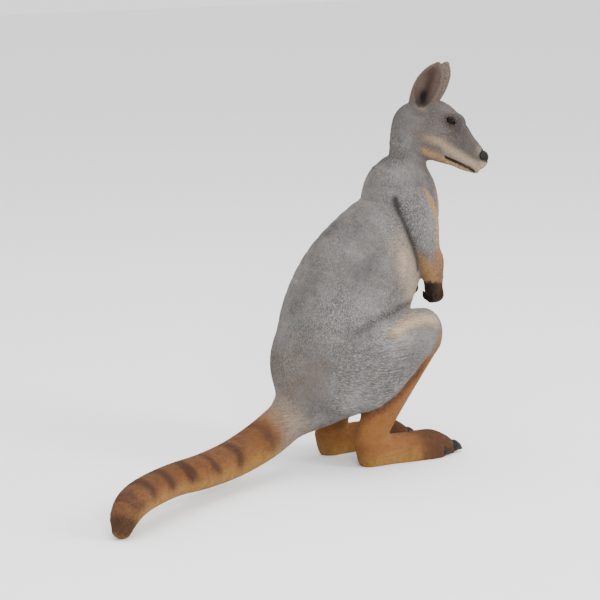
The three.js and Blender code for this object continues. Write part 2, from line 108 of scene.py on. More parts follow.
# %% [markdown]
# ## A limb
# A limb could be a cylinder that is scaled along a curve. Here it is a chain of short spans between
# stations, each with its own width and depth, and the line through the stations is a smooth spline.
# The distance to the nearest span is all that the field needs.

# %% A limb: a tube of oval sections along a smooth line
def smooth_line(stations, steps=4):
    p = np.array(stations, float)
    p = np.vstack([2 * p[0] - p[1], p, 2 * p[-1] - p[-2]])
    rows = []
    for a, b, c, d in zip(p, p[1:], p[2:], p[3:]):
        for t in np.arange(steps) / steps:
            bend = (2 * a - 5 * b + 4 * c - d) * t * t + (-a + 3 * b - 3 * c + d) * t ** 3
            rows.append(0.5 * (2 * b + (c - a) * t + bend))
    rows.append(p[-2])
    return np.array(rows, np.float32)


class Limb:
    """Each station is [x, y, z, wide, deep]; wide is the half size along `across`."""

    def __init__(self, stations, across=(0, 1, 0), flow=1):
        line = smooth_line(stations)
        self.a = line[:-1, :3]
        self.run = np.diff(line[:, :3], axis=0)
        self.length = np.linalg.norm(self.run, axis=1)
        self.along = unit(self.run)
        lift = np.array(across, np.float32)
        self.side = unit(lift - self.along * (self.along @ lift)[:, None])
        self.up = np.cross(self.along, self.side)
        self.size = line[:, 3:5]
        self.start = np.concatenate([[0], np.cumsum(self.length)])
        reach = np.array(stations, float)[:, 3:5].max()
        self.low = line[:, :3].min(0) - reach
        self.high = line[:, :3].max(0) + reach
        self.girth = self.size.mean()
        self.flow = flow  # the coat lies along the line, or against it

    def away(self, p):
        return np.linalg.norm(np.maximum(np.maximum(self.low - p, p - self.high), 0), axis=1)

    def __call__(self, p):
        d = self.away(p)
        near = np.flatnonzero(d <= FAR)
        if len(near):
            d[near] = self.measure(p[near])[0]
        return d

    def measure(self, p):
        """Distance, number of the nearest span, and the offset from its middle line."""
        best = np.full(len(p), 1e9, np.float32)
        span = np.zeros(len(p), int)
        off = np.zeros((len(p), 3), np.float32)  # along the line, sideways, upwards
        for i in range(len(self.length)):
            v = p - self.a[i]
            t = np.clip(v @ self.run[i] / self.length[i] ** 2, 0, 1)
            v = v - t[:, None] * self.run[i]
            size = self.size[i] + t[:, None] * (self.size[i + 1] - self.size[i])
            x, y, z = v @ self.side[i], v @ self.up[i], v @ self.along[i]
            d = oval(x, y, z, size[:, 0], size[:, 1], size.mean(1))
            closer = d < best
            best[closer] = d[closer]
            span[closer] = i
            off[closer] = np.stack([self.start[i] + t * self.length[i], x, y], 1)[closer]
        return best, span, off


print("a limb of", len(Limb([[0, 0, 0, 5, 5], [10, 0, 0, 5, 5]]).length), "spans per station")

# %% [markdown]
# ## The limbs
# The trunk is pear-shaped and leans forward; the neck and head rise from it and the tail leaves it
# behind. `flow` says which way the hair lies along each line: from nose to tail, and down each leg.

# %% Trunk, neck and tail
trunk = Limb([
    [-59, 0, 116, 56, 48], [-30, 0, 154, 78, 86], [-8, 0, 212, 86, 101], [14, 0, 268, 78, 97],
    [52, 0, 319, 67, 84], [95, 0, 370, 57, 63], [95, 0, 400, 50, 63], [94, 0, 411, 44, 54],
], flow=-1)
neck = Limb([
    [94, -1, 428, 34, 40], [106, -4, 452, 26, 26], [107, -9, 485, 28, 32], [115, -13, 504, 30, 34],
], flow=-1)
tail = Limb([
    [-70, 0, 102, 34, 36], [-110, -4, 79, 32, 32.5], [-160, -17, 58, 30, 31.5],
    [-222, -39, 45, 28, 29], [-290, -69, 43, 26, 26.5], [-355, -101, 48, 24.5, 24.5],
    [-413, -133, 48, 24.5, 24.3], [-448, -152, 42, 24, 24], [-467, -164, 30, 21, 21],
    [-475, -169, 14, 15, 15],
], across=(0.3, 1, 0))
print("tail", round(float(tail.start[-1])), "mm along its line")

# %% [markdown]
# ## Legs and arms
# The hind foot of a wallaby is one long toe with a smaller outer toe, and two thin toes joined in one
# skin on the inside. The hands hang half closed, so each finger is a short limb that curls back on
# itself. Both sides are alike but for the left hind leg, which stands a little farther back.

# %% A hind leg and an arm, drawn on the animal's left
LEFT_BACK = 16  # the left hind leg stands this far behind the right one
thigh = Limb([
    [-36, 44, 150, 44, 60], [-8, 56, 157, 43, 68], [32, 66, 178, 37, 56], [70, 66, 198, 31, 44],
    [97, 64, 203, 28, 37.5],
])
shank = Limb([
    [104, 62, 188, 22, 24], [70, 55, 134, 20, 24], [33, 48, 82, 18, 29], [20, 45, 52, 18, 27],
    [17, 45, 34, 18, 27],
])
sole = Limb([[17, 44, 18, 19, 27], [50, 45, 18, 19, 27], [88, 48, 17, 22.5, 26], [110, 49, 16, 19, 23]])
long_toe = Limb([
    [94, 48, 24, 14, 21], [120, 49, 23, 13, 21], [143, 50, 15, 12, 18.5], [158, 51, 9, 10, 13.5],
    [162, 51, 8, 8, 10.5],
])
outer_toe = Limb([
    [90, 57, 15, 11, 18], [112, 61, 14, 10.5, 19], [128, 62.5, 9.5, 9, 15], [136, 62.5, 7, 7, 10],
])
joined_toes = Limb([
    [84, 34, 15, 9, 14], [106, 32, 12, 8, 13], [120, 32, 8, 7.5, 10.5], [128, 32, 6, 6.5, 7.5],
])
arm = Limb([
    [90, 38, 399, 24, 32], [97, 47, 382, 23, 33], [99, 52, 362, 21, 32], [103, 52, 340, 19, 29.5],
    [112, 48, 319, 18, 27], [124, 44, 302, 17, 24.5], [134, 38, 281, 13, 17],
])
palm = Limb([[135, 37, 278, 13, 16], [137, 35, 262, 14, 15], [138, 34, 255, 13, 12]])
print("foot", round(float(sole.start[-1] + long_toe.start[-1])), "mm, arm", round(float(arm.start[-1])), "mm")

# %% Fingers
FINGERS = dict(count=5, first=22, pitch=6, at=144, thick=3.3)  # places sideways and forward


def finger_line(i):
    y = FINGERS["first"] + i * FINGERS["pitch"]
    drop = 2 - abs(i - 2) * 1.5  # the middle finger hangs lowest
    x, r = FINGERS["at"], FINGERS["thick"]
    return [[x, y, 262, r], [x + 1, y, 249 - drop, r * 1.12], [x - 7, y, 243.5 - drop, r * 1.05],
            [x - 14, y, 245 - drop, r * 1.05], [x - 16, y, 252 - drop, r * 0.9]]


fingers = [Limb([[x, y, z, r, r] for x, y, z, r in finger_line(i)]) for i in range(FINGERS["count"])]
print(len(fingers), "fingers on each hand")

# %% [markdown]
# ## The head
# The head has its own frame: forward to the nose, out to the side and up to the crown. It is even on
# both sides, so one half is drawn and the side distance is taken without its sign. The lids are a thin
# shell over the eyeball with a leaf-shaped opening, and the mouth is a groove cut along its line.

# %% The head's frame
HEAD = dict(at=(122, -14, 508), turn=-47, nod=13.5, tilt=5)
EYE = dict(at=(47, 21.5, 23), radius=8.5)
NOSE = dict(at=(104.2, 0, -17.4), size=(10.3, 10.6, 10.6))


def head_axes():
    turn, nod, tilt = (np.radians(HEAD[k]) for k in ("turn", "nod", "tilt"))
    forward = np.array([np.cos(turn) * np.cos(nod), np.sin(turn) * np.cos(nod), -np.sin(nod)])
    level = np.array([-np.sin(turn), np.cos(turn), 0])
    left = level * np.cos(tilt) - np.cross(forward, level) * np.sin(tilt)
    return np.array([forward, left, np.cross(forward, left)])


HEAD_AXES = head_axes()


def in_head(p):
    return (p - np.array(HEAD["at"])) @ HEAD_AXES.T


def out_of_head(q):
    return q @ HEAD_AXES + np.array(HEAD["at"])


print("the nose points", HEAD_AXES[0].round(2))


# %% Skull, muzzle, jaw and ears
skull = Limb([
    [-8, 0, 2, 33, 36], [14, 0, 4, 35, 44], [26, 0, 3, 33.5, 43], [44, 0, -3, 28, 34],
], flow=-1)
muzzle = Limb([
    [54, 0, -8, 24, 31], [74, 0, -14, 18.5, 25], [90, 0, -19, 15, 19.5], [101, 0, -23, 13, 15.5],
], flow=-1)
jaw = Limb([
    [30, 0, -29, 20, 14], [60, 0, -33, 15, 9.5], [80, 0, -36.5, 12, 8.5], [99, 0, -39, 8, 6],
], flow=-1)
ear = Limb([
    [-5, 15, 30, 19, 13], [-3, 22, 50, 20.5, 13], [1, 28, 68, 20.5, 12], [6, 33, 86, 15.5, 9],
    [9, 36, 100.3, 6, 5],
], across=(1, 0, 0))
ear_hollow = Limb([
    [-2, 26, 40, 8, 8], [-1, 31, 54, 14, 10], [2, 36, 70, 15.5, 9], [7, 40, 86, 10, 6], [9, 42, 98, 3, 3],
], across=(1, 0, 0))
CHEEK = ((26, 23, -15), (27, 12, 22))  # middle and half sizes of an oval lump
ORBIT = ((48, 16, 22), (17, 12, 14))  # the same for the bony rim over the eye


def lump(p, at, size):
    return oval(p[:, 0] - at[0], p[:, 1] - at[1], p[:, 2] - at[2], *size)


print("the ear stands", round(float(ear.start[-1])), "mm from its root to its tip")

# %% The eye's opening and the mouth's line
LIDS = dict(out=(0.24, 0.94, 0.22), half_wide=6.0, half_tall=3.9, rim=1.5)
MOUTH = np.array([
    [53, -30.3], [60, -32], [69.5, -33.7], [83, -36.4], [93, -38.6], [99, -41], [102, -44],
])  # forward and up
EYE_OUT = unit(np.array(LIDS["out"]))
EYE_FORE = unit(np.cross(np.cross(EYE_OUT, (1, 0, -0.32)), EYE_OUT))
EYE_UP = np.cross(EYE_FORE, EYE_OUT)


def eye_opening(p):
    """Place in the leaf-shaped opening, 1 on its edge, and the height over the eyeball's middle."""
    v = p - np.array(EYE["at"])
    along, up, out = v @ EYE_FORE, v @ EYE_UP, v @ EYE_OUT
    leaf = 1 - np.clip(np.abs(along) / (LIDS["half_wide"] * 1.25), 0, 1) ** 2
    tall = LIDS["half_tall"] * np.where(up > 0, 1.08, 0.86) * leaf
    return np.maximum(np.abs(along) / LIDS["half_wide"], np.abs(up) / np.maximum(tall, 0.4)), out


def to_path(x, y, path):
    """Distance from points of a plane to a chain of straight lines."""
    best = np.full(len(x), 1e9)
    for a, b in zip(path, path[1:]):
        t = np.clip(((x - a[0]) * (b[0] - a[0]) + (y - a[1]) * (b[1] - a[1])) / dots(b - a, b - a), 0, 1)
        best = np.minimum(best, np.hypot(x - a[0] - t * (b[0] - a[0]), y - a[1] - t * (b[1] - a[1])))
    return best


print("the mouth is", round(float(np.hypot(*np.diff(MOUTH, axis=0).T).sum())), "mm long")


# %% The whole head, lids, mouth and ears
def head(p):
    q = in_head(p).astype(np.float32)
    q[:, 1] = np.abs(q[:, 1])
    d = melt(skull(q), muzzle(q), 14)
    d = melt(d, jaw(q), 5)
    d = melt(d, lump(q, *CHEEK), 14)
    d = melt(d, lump(q, *ORBIT), 8)
    d = melt(d, carve(ear(q), ear_hollow(q), 3), 8)
    ball = np.linalg.norm(q - np.array(EYE["at"]), axis=1) - EYE["radius"]
    d = melt(d, ball - LIDS["rim"] + COAT, 4)
    opening, out = eye_opening(q)
    hole = np.maximum(np.maximum(opening - 1, -0.9) * 4, 3 - out)
    d = carve(d, np.maximum(hole, -ball - 3.5), 0.7)
    d = d + 0.8 * np.exp(-((opening - 1.75) / 0.2) ** 2) * (out > 2) * (ball < 6)
    d = carve(d, lump(q, NOSE["at"], np.array(NOSE["size"]) - 0.6), 0.8)
    mouth = to_path(q[:, 0], q[:, 2], MOUTH)
    return d + 1.5 * np.exp(-((mouth / 1.1) ** 2))


in_muzzle = out_of_head(np.array([[74.0, 0.0, -14.0]], np.float32))
print("the muzzle's middle lies", round(-float(head(in_muzzle)[0]), 1), "mm under its skin")


# %% The whole body
def leg(p):
    d = melt(thigh(p), shank(p), 5)
    d = melt(d, sole(p), 10)
    d = melt(d, long_toe(p), 4)
    d = melt(d, outer_toe(p), 2.5)
    return melt(d, joined_toes(p), 2.5)


def foreleg(p):
    d = melt(arm(p), palm(p), 5)
    for finger in fingers:
        d = melt(d, finger(p), 1.6)
    return d


def mirrored(p):
    return p * np.array([1, -1, 1], np.float32)


def left_leg_place(p):
    return p + np.array([LEFT_BACK, 0, 0], np.float32)


def body(p):
    d = melt(trunk(p), neck(p), 24)
    d = melt(d, tail(p), 30)
    crease = 24 + (7 - 24) * np.clip((p[:, 0] + 50) / 100, 0, 1)
    d = melt(d, leg(mirrored(p)), crease)
    d = melt(d, leg(left_leg_place(p)), crease)
    d = melt(d, head(p), 12)
    d = melt(d, foreleg(p), 6)
    d = melt(d, foreleg(mirrored(p)), 6)
    return np.maximum(d + COAT, 0.05 - p[:, 2])


belly_middle = np.array([[0.0, 0.0, 200.0]], np.float32)
print("the trunk's middle lies", round(-float(body(belly_middle)[0]), 1), "mm under the skin")

# %% [markdown]
# ## From the field to one skin
# Surface nets put one vertex in every grid cell that the skin passes through and one quad round every
# grid edge that crosses it. That gives even quads with no seam. The grid's lines are close together
# through the head and wider elsewhere. The field is only worked out near the skin, which a grid four
# times as coarse finds first.

# %% A grid with a fine part
def grid_lines(low, high, fine_low, fine_high, fine, wide):
    stops = [low]
    while stops[-1] < high:
        step = fine if fine_low - 4 * wide < stops[-1] < fine_high else wide
        stops.append(stops[-1] + 4 * step)
    stops = np.array(stops, float)
    parts = [stops[:-1] + (stops[1:] - stops[:-1]) * q / 4 for q in range(4)]
    return np.append(np.stack(parts, 1).ravel(), stops[-1])


print("lines with a fine part:", grid_lines(0, 20, 5, 10, 1.0, 2.5).round(1))


# %% The field on the grid
BATCH = 60000  # points worked out at a time


def values_near_skin(field, lines):
    """The field on the grid: worked out near the skin, and only its sign elsewhere."""
    middles = [(a[:-1:4] + a[4::4]) / 2 for a in lines]
    steps = [np.diff(a[::4]) for a in lines]
    shape = [len(m) for m in middles]
    centre = np.stack(np.meshgrid(*middles, indexing="ij"), -1).reshape(-1, 3).astype(np.float32)
    size = np.stack(np.meshgrid(*steps, indexing="ij"), -1).reshape(-1, 3)
    coarse = field(centre)
    near = (np.abs(coarse) < np.linalg.norm(size, axis=1) * 0.66).reshape(shape)
    values = coarse.reshape(shape).astype(np.float32)
    for axis in range(3):
        near = np.repeat(near, 4, axis)
        values = np.repeat(values, 4, axis)
    values = np.pad(values, ((0, 1),) * 3, mode="edge")
    need = np.zeros(values.shape, bool)
    for corner in np.ndindex(2, 2, 2):
        need[tuple(slice(c, c + n) for c, n in zip(corner, near.shape))] |= near
    index = np.argwhere(need)
    points = np.stack([lines[k][index[:, k]] for k in range(3)], 1).astype(np.float32)
    batches = np.array_split(points, len(points) // BATCH + 1)
    values[need] = np.concatenate([field(batch) for batch in batches])
    return values


ball = values_near_skin(lambda p: np.linalg.norm(p, axis=1) - 5, [np.arange(-8.0, 9.0)] * 3)
print("a ball of 5 mm fills", int((ball < 0).sum()), "grid points of 1 mm")


# %% Surface nets
CORNERS = np.array(list(np.ndindex(2, 2, 2)))
EDGES = [(a, b) for a in range(8) for b in range(8) if b > a and (CORNERS[a] != CORNERS[b]).sum() == 1]


def skin_of(field, lines):
    values = values_near_skin(field, lines)
    inside = values < 0
    shape = [n - 1 for n in values.shape]
    count = sum(inside[tuple(slice(c, c + n) for c, n in zip(k, shape))].astype(np.int8) for k in CORNERS)
    cells = np.argwhere((count > 0) & (count < 8))
    v = np.stack([values[tuple((cells + k).T)] for k in CORNERS], 1)
    total, hits = np.zeros((len(cells), 3)), np.zeros(len(cells))
    for a, b in EDGES:
        crossed = (v[:, a] < 0) != (v[:, b] < 0)
        t = np.where(crossed, v[:, a] / np.where(crossed, v[:, a] - v[:, b], 1), 0)[:, None]
        total += crossed[:, None] * (CORNERS[a] + t * (CORNERS[b] - CORNERS[a]))
        hits += crossed
    place = total / hits[:, None]
    low = np.stack([lines[k][cells[:, k]] for k in range(3)], 1)
    high = np.stack([lines[k][cells[:, k] + 1] for k in range(3)], 1)
    points = low + place * (high - low)
    number = np.full(shape, -1, np.int32)
    number[tuple(cells.T)] = np.arange(len(cells))
    quads = []
    for q in range(3):
        s, t = (q + 1) % 3, (q + 2) % 3
        one, step, across = (np.eye(3, dtype=int)[k] for k in (q, s, t))
        ahead = inside[tuple(slice(o, None) for o in one)]
        here = inside[tuple(slice(0, n) for n in ahead.shape)]
        edge = np.argwhere(here != ahead)
        edge = edge[(edge[:, s] > 0) & (edge[:, t] > 0) & (edge < shape).all(1)]
        ring = np.stack([number[tuple((edge - k).T)] for k in (0 * step, step, step + across, across)], 1)
        ring[~inside[tuple(edge.T)]] = ring[~inside[tuple(edge.T)]][:, ::-1]
        quads.append(ring)
    return points, np.concatenate(quads)


print(len(EDGES), "edges in a cell of the grid")


# %% Set the skin on the form
def slope_of(field, p, e=0.3):
    """The field's slope at each point, which is the skin's normal."""
    ways = np.array([[1, -1, -1], [-1, -1, 1], [-1, 1, -1], [1, 1, 1]], float)
    return sum(w * field((p + w * e).astype(np.float32))[:, None] for w in ways) / (4 * e)


def settle(field, points, limit):
    """Moves each vertex onto the skin, by `limit` at most."""
    slope = slope_of(field, points)
    steep = np.maximum(dots(slope, slope), 0.2)
    move = -slope * (field(points.astype(np.float32)) / steep)[:, None]
    size = np.linalg.norm(move, axis=1, keepdims=True)
    return points + move * np.minimum(1, limit / np.maximum(size, 1e-9))


print("the skin over the back faces", unit(slope_of(trunk, np.array([[0.0, 0.0, 330.0]])))[0].round(2))

# %% Make the skin
FINE, WIDE = ((1.7, 3.7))
lines = [
    grid_lines(-505, 200, 92, 205, FINE, WIDE),
    grid_lines(-205, 110, -108, 42, FINE, WIDE),
    grid_lines(-16, 622, 462, 622, FINE, WIDE),
]
points, quads = skin_of(body, lines)
points = settle(body, settle(body, points, FINE * 0.4), FINE * 0.4)
print("grid", [len(a) for a in lines], "skin", len(points), "vertices", len(quads), "quads")

# %% [markdown]
# ## Which way the hair lies, and where the paint goes
# Every vertex keeps a few plain numbers: how much of each paint it has, how far round its limb it is,
# and which way the hair lies. They could be painted by hand on a texture. Here they come from the same
# limbs as the form does, so they stay with it, and the locks that are set on later read them too.

# %% Where a point is, limb by limb
def same(p):
    return p


def head_place(p):
    q = in_head(p)
    return q * np.where(q[:, 1:2] < 0, np.array([1, -1, 1]), 1)


def arm_place(p):
    return p * np.where(p[:, 1:2] < 0, np.array([1, -1, 1]), 1)


def leg_place(p):
    return np.where(p[:, 1:2] < 0, mirrored(p), left_leg_place(p))


LIMBS = [
    ("trunk", trunk, same), ("neck", neck, same), ("tail", tail, same), ("skull", skull, head_place),
    ("muzzle", muzzle, head_place), ("jaw", jaw, head_place), ("ear", ear, head_place),
    ("thigh", thigh, leg_place), ("shank", shank, leg_place), ("sole", sole, leg_place),
    ("long_toe", long_toe, leg_place), ("outer_toe", outer_toe, leg_place),
    ("joined_toes", joined_toes, leg_place), ("arm", arm, arm_place), ("palm", palm, arm_place),
]
NEAR = 40.0  # farther off than this, mm, a limb gives its box's distance and no way along it


def measure_all(p):
    """For each limb: distance and way along it in mm, angle round it, and which way its hair lies."""
    found = {}
    for name, limb, place in LIMBS:
        q = place(p).astype(np.float32)
        d = limb.away(q)
        way, turn, lie = np.zeros(len(p)), np.zeros(len(p)), np.zeros((len(p), 3))
        near = np.flatnonzero(d < NEAR)
        if len(near):
            d[near], span, off = limb.measure(q[near])
            way[near] = off[:, 0]
            turn[near] = np.arctan2(off[:, 1], -off[:, 2])
            lie[near] = limb.flow * limb.along[span]
        if place is head_place:
            lie = np.where(in_head(p)[:, 1:2] < 0, lie * np.array([1, -1, 1]), lie) @ HEAD_AXES
        elif place is not same:
            lie = np.where(p[:, 1:2] < 0, mirrored(lie), lie)
        found[name] = (d, way, turn, lie)
    return found


def hair(found, down=0.25):
    """The way the hair lies: each limb's own way, by how near it is, and a little downwards."""
    total = sum(np.exp(-np.maximum(d + 4, 0) / 7)[:, None] * lie for d, way, turn, lie in found.values())
    return unit(unit(total) - [0, 0, down])


print(len(LIMBS), "limbs are asked for each point")

# %% [markdown]
# ## Where each paint goes
# Lines and spots say where a brush went: forward and up on the head, along and up on a leg or an arm,
# and along the line of the tail. A stroke is strongest on its line and fades to both sides. Every part
# of the animal has a function of its own that lists its strokes for each paint, with their strength.

# %% Lines that the brush follows
BANDS = [  # way along the tail and half width in mm, and darkness
    (106, 22, 0.8), (183, 17, 1.0), (244, 15, 0.95), (303, 16, 1.15), (355, 15, 1.1), (400, 13, 1.0),
    (430, 10, 0.8), (460, 14, 1.3),
]
CHEEK_STRIPE = np.array([
    [2, -5], [12, -9], [28, -9], [43, -10], [54, -15], [67, -21], [82, -26], [95, -30], [106, -34],
])
JAW_PATCH = np.array([[22, -29], [32, -32], [45, -33], [58, -35]])
LOWER_LIP = np.array([[58, -37], [71, -39], [85, -42], [96, -45]])
EAR_INSIDE = np.array([[-2, 46], [1, 62], [3, 78], [4, 90]])
KNEE_STRIPE = np.array([[106, 224], [88, 229], [66, 228], [46, 223], [30, 216]])
# Lines of painted shade: where the thigh meets the belly, and the crease behind the arm, painted nearly
# black.
THIGH_CREASE = np.array([[78, 249], [51, 248], [32, 243], [12, 240], [-8, 233], [-30, 224], [-55, 215]])
ARM_CREASE = np.array([[60, 408], [61, 391], [65, 374], [72, 351], [80, 331], [88, 312], [93, 298]])
ARM_LINE = (  # heights, and how far forward the arm's middle is at each
    [270, 281, 302, 319, 340, 362, 382, 399], [136, 134, 124, 112, 103, 99, 97, 90],
)


def near_line(x, y, path, wide):
    return np.exp(-((to_path(x, y, path) / wide) ** 2))


def near_spot(x, y, at, wide, tall):
    return np.exp(-(((x - at[0]) / wide) ** 2) - ((y - at[1]) / tall) ** 2)


def wobble(p, size, seed):
    """A slow, smooth variation between -1 and 1."""
    rng = np.random.default_rng(seed)
    waves = rng.normal(size=(7, 3)) / size
    return sum(np.sin(p @ w + t) for w, t in zip(waves, rng.uniform(0, 6.28, 7))) / 3


print(len(BANDS), "bands on the tail")


# %% How far a point belongs to each part
def parts_at(p, n, found):
    """Shares from 0 to 1 for each part, with the places and distances that the strokes are laid by."""
    d = {name: v[0] for name, v in found.items()}
    a = SimpleNamespace(p=p, x=p[:, 0], y=p[:, 1], z=p[:, 2], n=n, d=d, rough=wobble(p, 5, 3))
    a.leg_x, a.leg_y, a.leg_z = leg_place(p).T
    a.in_head = head_place(p)
    ahead, side, up = a.in_head.T
    skull_near = np.minimum(d["skull"], np.minimum(d["muzzle"], d["jaw"]))
    a.head = soft(np.minimum(d["neck"], d["trunk"]) - skull_near, -14, 10) * (a.z > 425)
    a.ear = soft(up - 38 - 0.1 * ahead, 0, 9) * (d["ear"] < 6)
    a.face = a.head * (1 - a.ear)
    a.foot = np.minimum.reduce([d[name] for name in ("sole", "long_toe", "outer_toe", "joined_toes")])
    lower = np.minimum(d["shank"], a.foot)
    a.low_leg = soft(d["thigh"] - lower + 2 * a.rough, -4, 4) * (a.leg_z < 215) * (lower < 12)
    on_arm = soft(np.minimum(d["trunk"], d["neck"]) - np.minimum(d["arm"], d["palm"]), -2, 3)
    a.arm = on_arm * (a.z > 225) * (a.z < 425) * (d["thigh"] > 4)
    a.hand = a.arm * soft(274 + 2 * a.rough - a.z, -4, 5)
    behind_legs = np.minimum(d["shank"], d["thigh"]) > 2
    a.tail = soft(d["trunk"] - d["tail"], -10, 12) * (a.x < -50) * behind_legs
    a.tail_way = found["tail"][1]
    return a


few = points[::5000]
few_parts = parts_at(few, unit(slope_of(body, few)), measure_all(few))
print("of", len(few), "points,", int((few_parts.tail > 0.5).sum()), "are on the tail")


# %% Head
def head_paints(a):
    """Pale cheek stripe, golden jaw, dark bridge and muzzle, eye ring, mouth line, pink-brown ears, and
    painted shade deep in the ears, beneath them and behind the jaw.
    """
    f, side, u = a.in_head.T
    face = a.face
    mouth = to_path(f, u, MOUTH)
    lid, out = eye_opening(a.in_head)
    gap = (a.in_head - np.array(EYE["at"])) @ np.stack([EYE_FORE, EYE_UP, EYE_OUT], 1)
    socket = np.sqrt((gap[:, 0] / 12) ** 2 + (gap[:, 1] / 8.5) ** 2) + (side < 6) * 9
    nose_rim = np.linalg.norm((a.in_head - np.array(NOSE["at"])) / (np.array(NOSE["size"]) + 1.2), axis=1)
    in_ear = soft(3.5 - ear_hollow(a.in_head.astype(np.float32)), 0, 3.5) * (a.d["ear"] < 8)
    ear_back = a.ear * (1 - in_ear)
    stripe = near_line(f, u, CHEEK_STRIPE, 7.2) * soft(side, 3, 8) * face
    over_stripe = face * soft(u - np.interp(f, CHEEK_STRIPE[:, 0], CHEEK_STRIPE[:, 1]), 3, 12)
    under_stripe = face * near_line(f, u, CHEEK_STRIPE - [0, 9.5], 4) * soft(56 - f, 0, 16) * soft(f, 8, 20)
    bridge = face * np.exp(-((side / 6) ** 2)) * soft(u + 0.55 * (f - 88), 0, 14)
    bridge = bridge * soft(f, 40, 60) * soft(100 - f, 0, 12)
    jaw_patch = face * near_line(f, u, JAW_PATCH, 6)
    lower_lip = face * near_line(f, u, LOWER_LIP, 5)
    chin = face * soft(f, 84, 98) * soft(-u - 35, 0, 6)
    upper_lip = face * soft(f, 90, 104) * soft(-u - 18, 0, 8)
    beside_nose = face * near_spot(f, u, (99, -9), 6, 10) * soft(side, 1, 6)
    under_ear = face * near_spot(f, u, (0, 31), 9, 5)
    return {
        "taupe": [0.42 * a.head * soft(f, -20, 30), 0.75 * a.ear],
        "cream": [
            0.6 * stripe * soft(f, 2, 44), 0.5 * upper_lip, 0.35 * beside_nose, 0.3 * lower_lip,
            0.3 * under_ear, 0.15 * jaw_patch, 0.12 * ear_back, 0.4 * chin,
        ],
        "ochre": [0.75 * jaw_patch, 0.7 * lower_lip, 0.35 * chin, 0.2 * stripe],
        "gold": [face],
        "brown": [
            0.9 * face * soft(1.2 - socket, 0, 0.45), 0.5 * face * soft(1.9 - socket, 0, 0.9),
            0.6 * face * near_spot(f, u, (60, 15), 8, 7) * soft(side, 14, 20), 0.85 * bridge,
            0.3 * under_stripe, 0.3 * ear_back, 0.8 * in_ear * near_line(f, u, EAR_INSIDE, 7.5),
        ],
        "black": [
            face * soft(3.1 - mouth, 0, 1.2) * (f > 52) * (u < -24),
            soft(1.42 - lid, 0, 0.3) * (out > 2) * face,
            # The bottom of each ear's hollow darkens to black: painted shade.
            1.4 * near_spot(f, u, (-3, 49), 6, 12) * in_ear, 0.5 * near_spot(f, u, (-1, 60), 6, 20) * in_ear,
            0.7 * soft(1.1 - nose_rim, 0, 0.1),
        ],
        "pink": [0.25 * in_ear, 0.3 * a.ear],
        "shade": [
            # In the shade paint: the muzzle and upper face are a darker grey of their own, and beneath the
            # ear and behind the jaw is painted shade.
            0.7 * over_stripe * soft(f, 30, 62) * soft(side, 5, 12) * soft(112 - f, 0, 10),
            0.3 * face * near_spot(f, u, (4, 14), 22, 12), 0.42 * face * soft(u + 30, 0, 20),
            0.4 * face * soft(-u + 2, 0, 26) * soft(24 - f, 0, 30),
        ],
    }


print("paints on the head:", *head_paints(few_parts))


# %% Trunk and neck
def trunk_paints(a):
    """Cream belly and flank with a warm edge, a brown lower back and painted shade round the base of the
    neck.
    """
    d, n, x, z = a.d, a.n, a.x, a.z
    clear = soft(np.minimum(d["arm"], d["thigh"]) + 10, 0, 8) * (1 - a.head) * (d["trunk"] < 14) * (1 - a.arm)
    front = soft(n[:, 0] - 0.3 * np.abs(n[:, 1]) - 0.1 * n[:, 2], 0.12, 0.75)
    belly = front * clear * (x > 20)
    spots = np.maximum(near_spot(x, z, (60, 318), 13, 38), 0.5 * near_spot(x, z, (42, 350), 12, 24))
    flank = np.maximum(spots, 0.75 * soft(x + 0.2 * (z - 250), 48, 84) * (z > 235))
    flank = flank * soft(335 - z, -60, 30) * clear
    back = soft(-n[:, 0] + 0.4 * n[:, 2], 0.3, 1) * (d["trunk"] < 10)
    # Painted shade round the base of the neck, under the head.
    nape_shade = np.exp(-(((z - 466 - 0.15 * (x - 67)) / 13) ** 2)) * (d["neck"] < 22) * soft(110 - x, 0, 25)
    return {
        "taupe": [0.5 * back * soft(250 - z, 0, 110)],
        "cream": [0.6 * belly, 0.66 * flank],
        "ochre": [0.4 * belly, 0.65 * belly * (z > 345) * soft(430 - z, 0, 25), 0.2 * flank],
        "shade": [0.6 * nape_shade],
    }


print("paints on the trunk:", *trunk_paints(few_parts))


# %% Tail
def tail_paints(a):
    """Ochre with brown bands over its top, which fade towards the underside, and a grey root."""
    way, over = a.tail_way, np.clip(a.n[:, 2], -1, 1)
    sway = 3 * wobble(a.p, 9, 5)
    bands = sum(dark * np.exp(-(((way - at + sway - 6 * over) / half) ** 2)) for at, half, dark in BANDS)
    bands = bands * a.tail * soft(over + 0.15 * a.rough + 0.5 * (way > 445), -0.6, 0.45)
    root = a.tail * soft(96 - way + 8 * a.rough, -20, 40)
    return {
        "taupe": [0.6 * root],
        "cream": [0.2 * root],
        "ochre": [a.tail * soft(way + 6 * a.rough + 14 * over, 50, 116)],
        "gold": [a.tail * soft(-over, -0.5, 0.5)],
        "brown": [
            bands, 0.55 * a.tail * soft(way, 50, 130) * soft(over, -0.2, 0.8),
            0.3 * a.tail * soft(way, 380, 450),
        ],
    }


print("paints on the tail:", *tail_paints(few_parts))


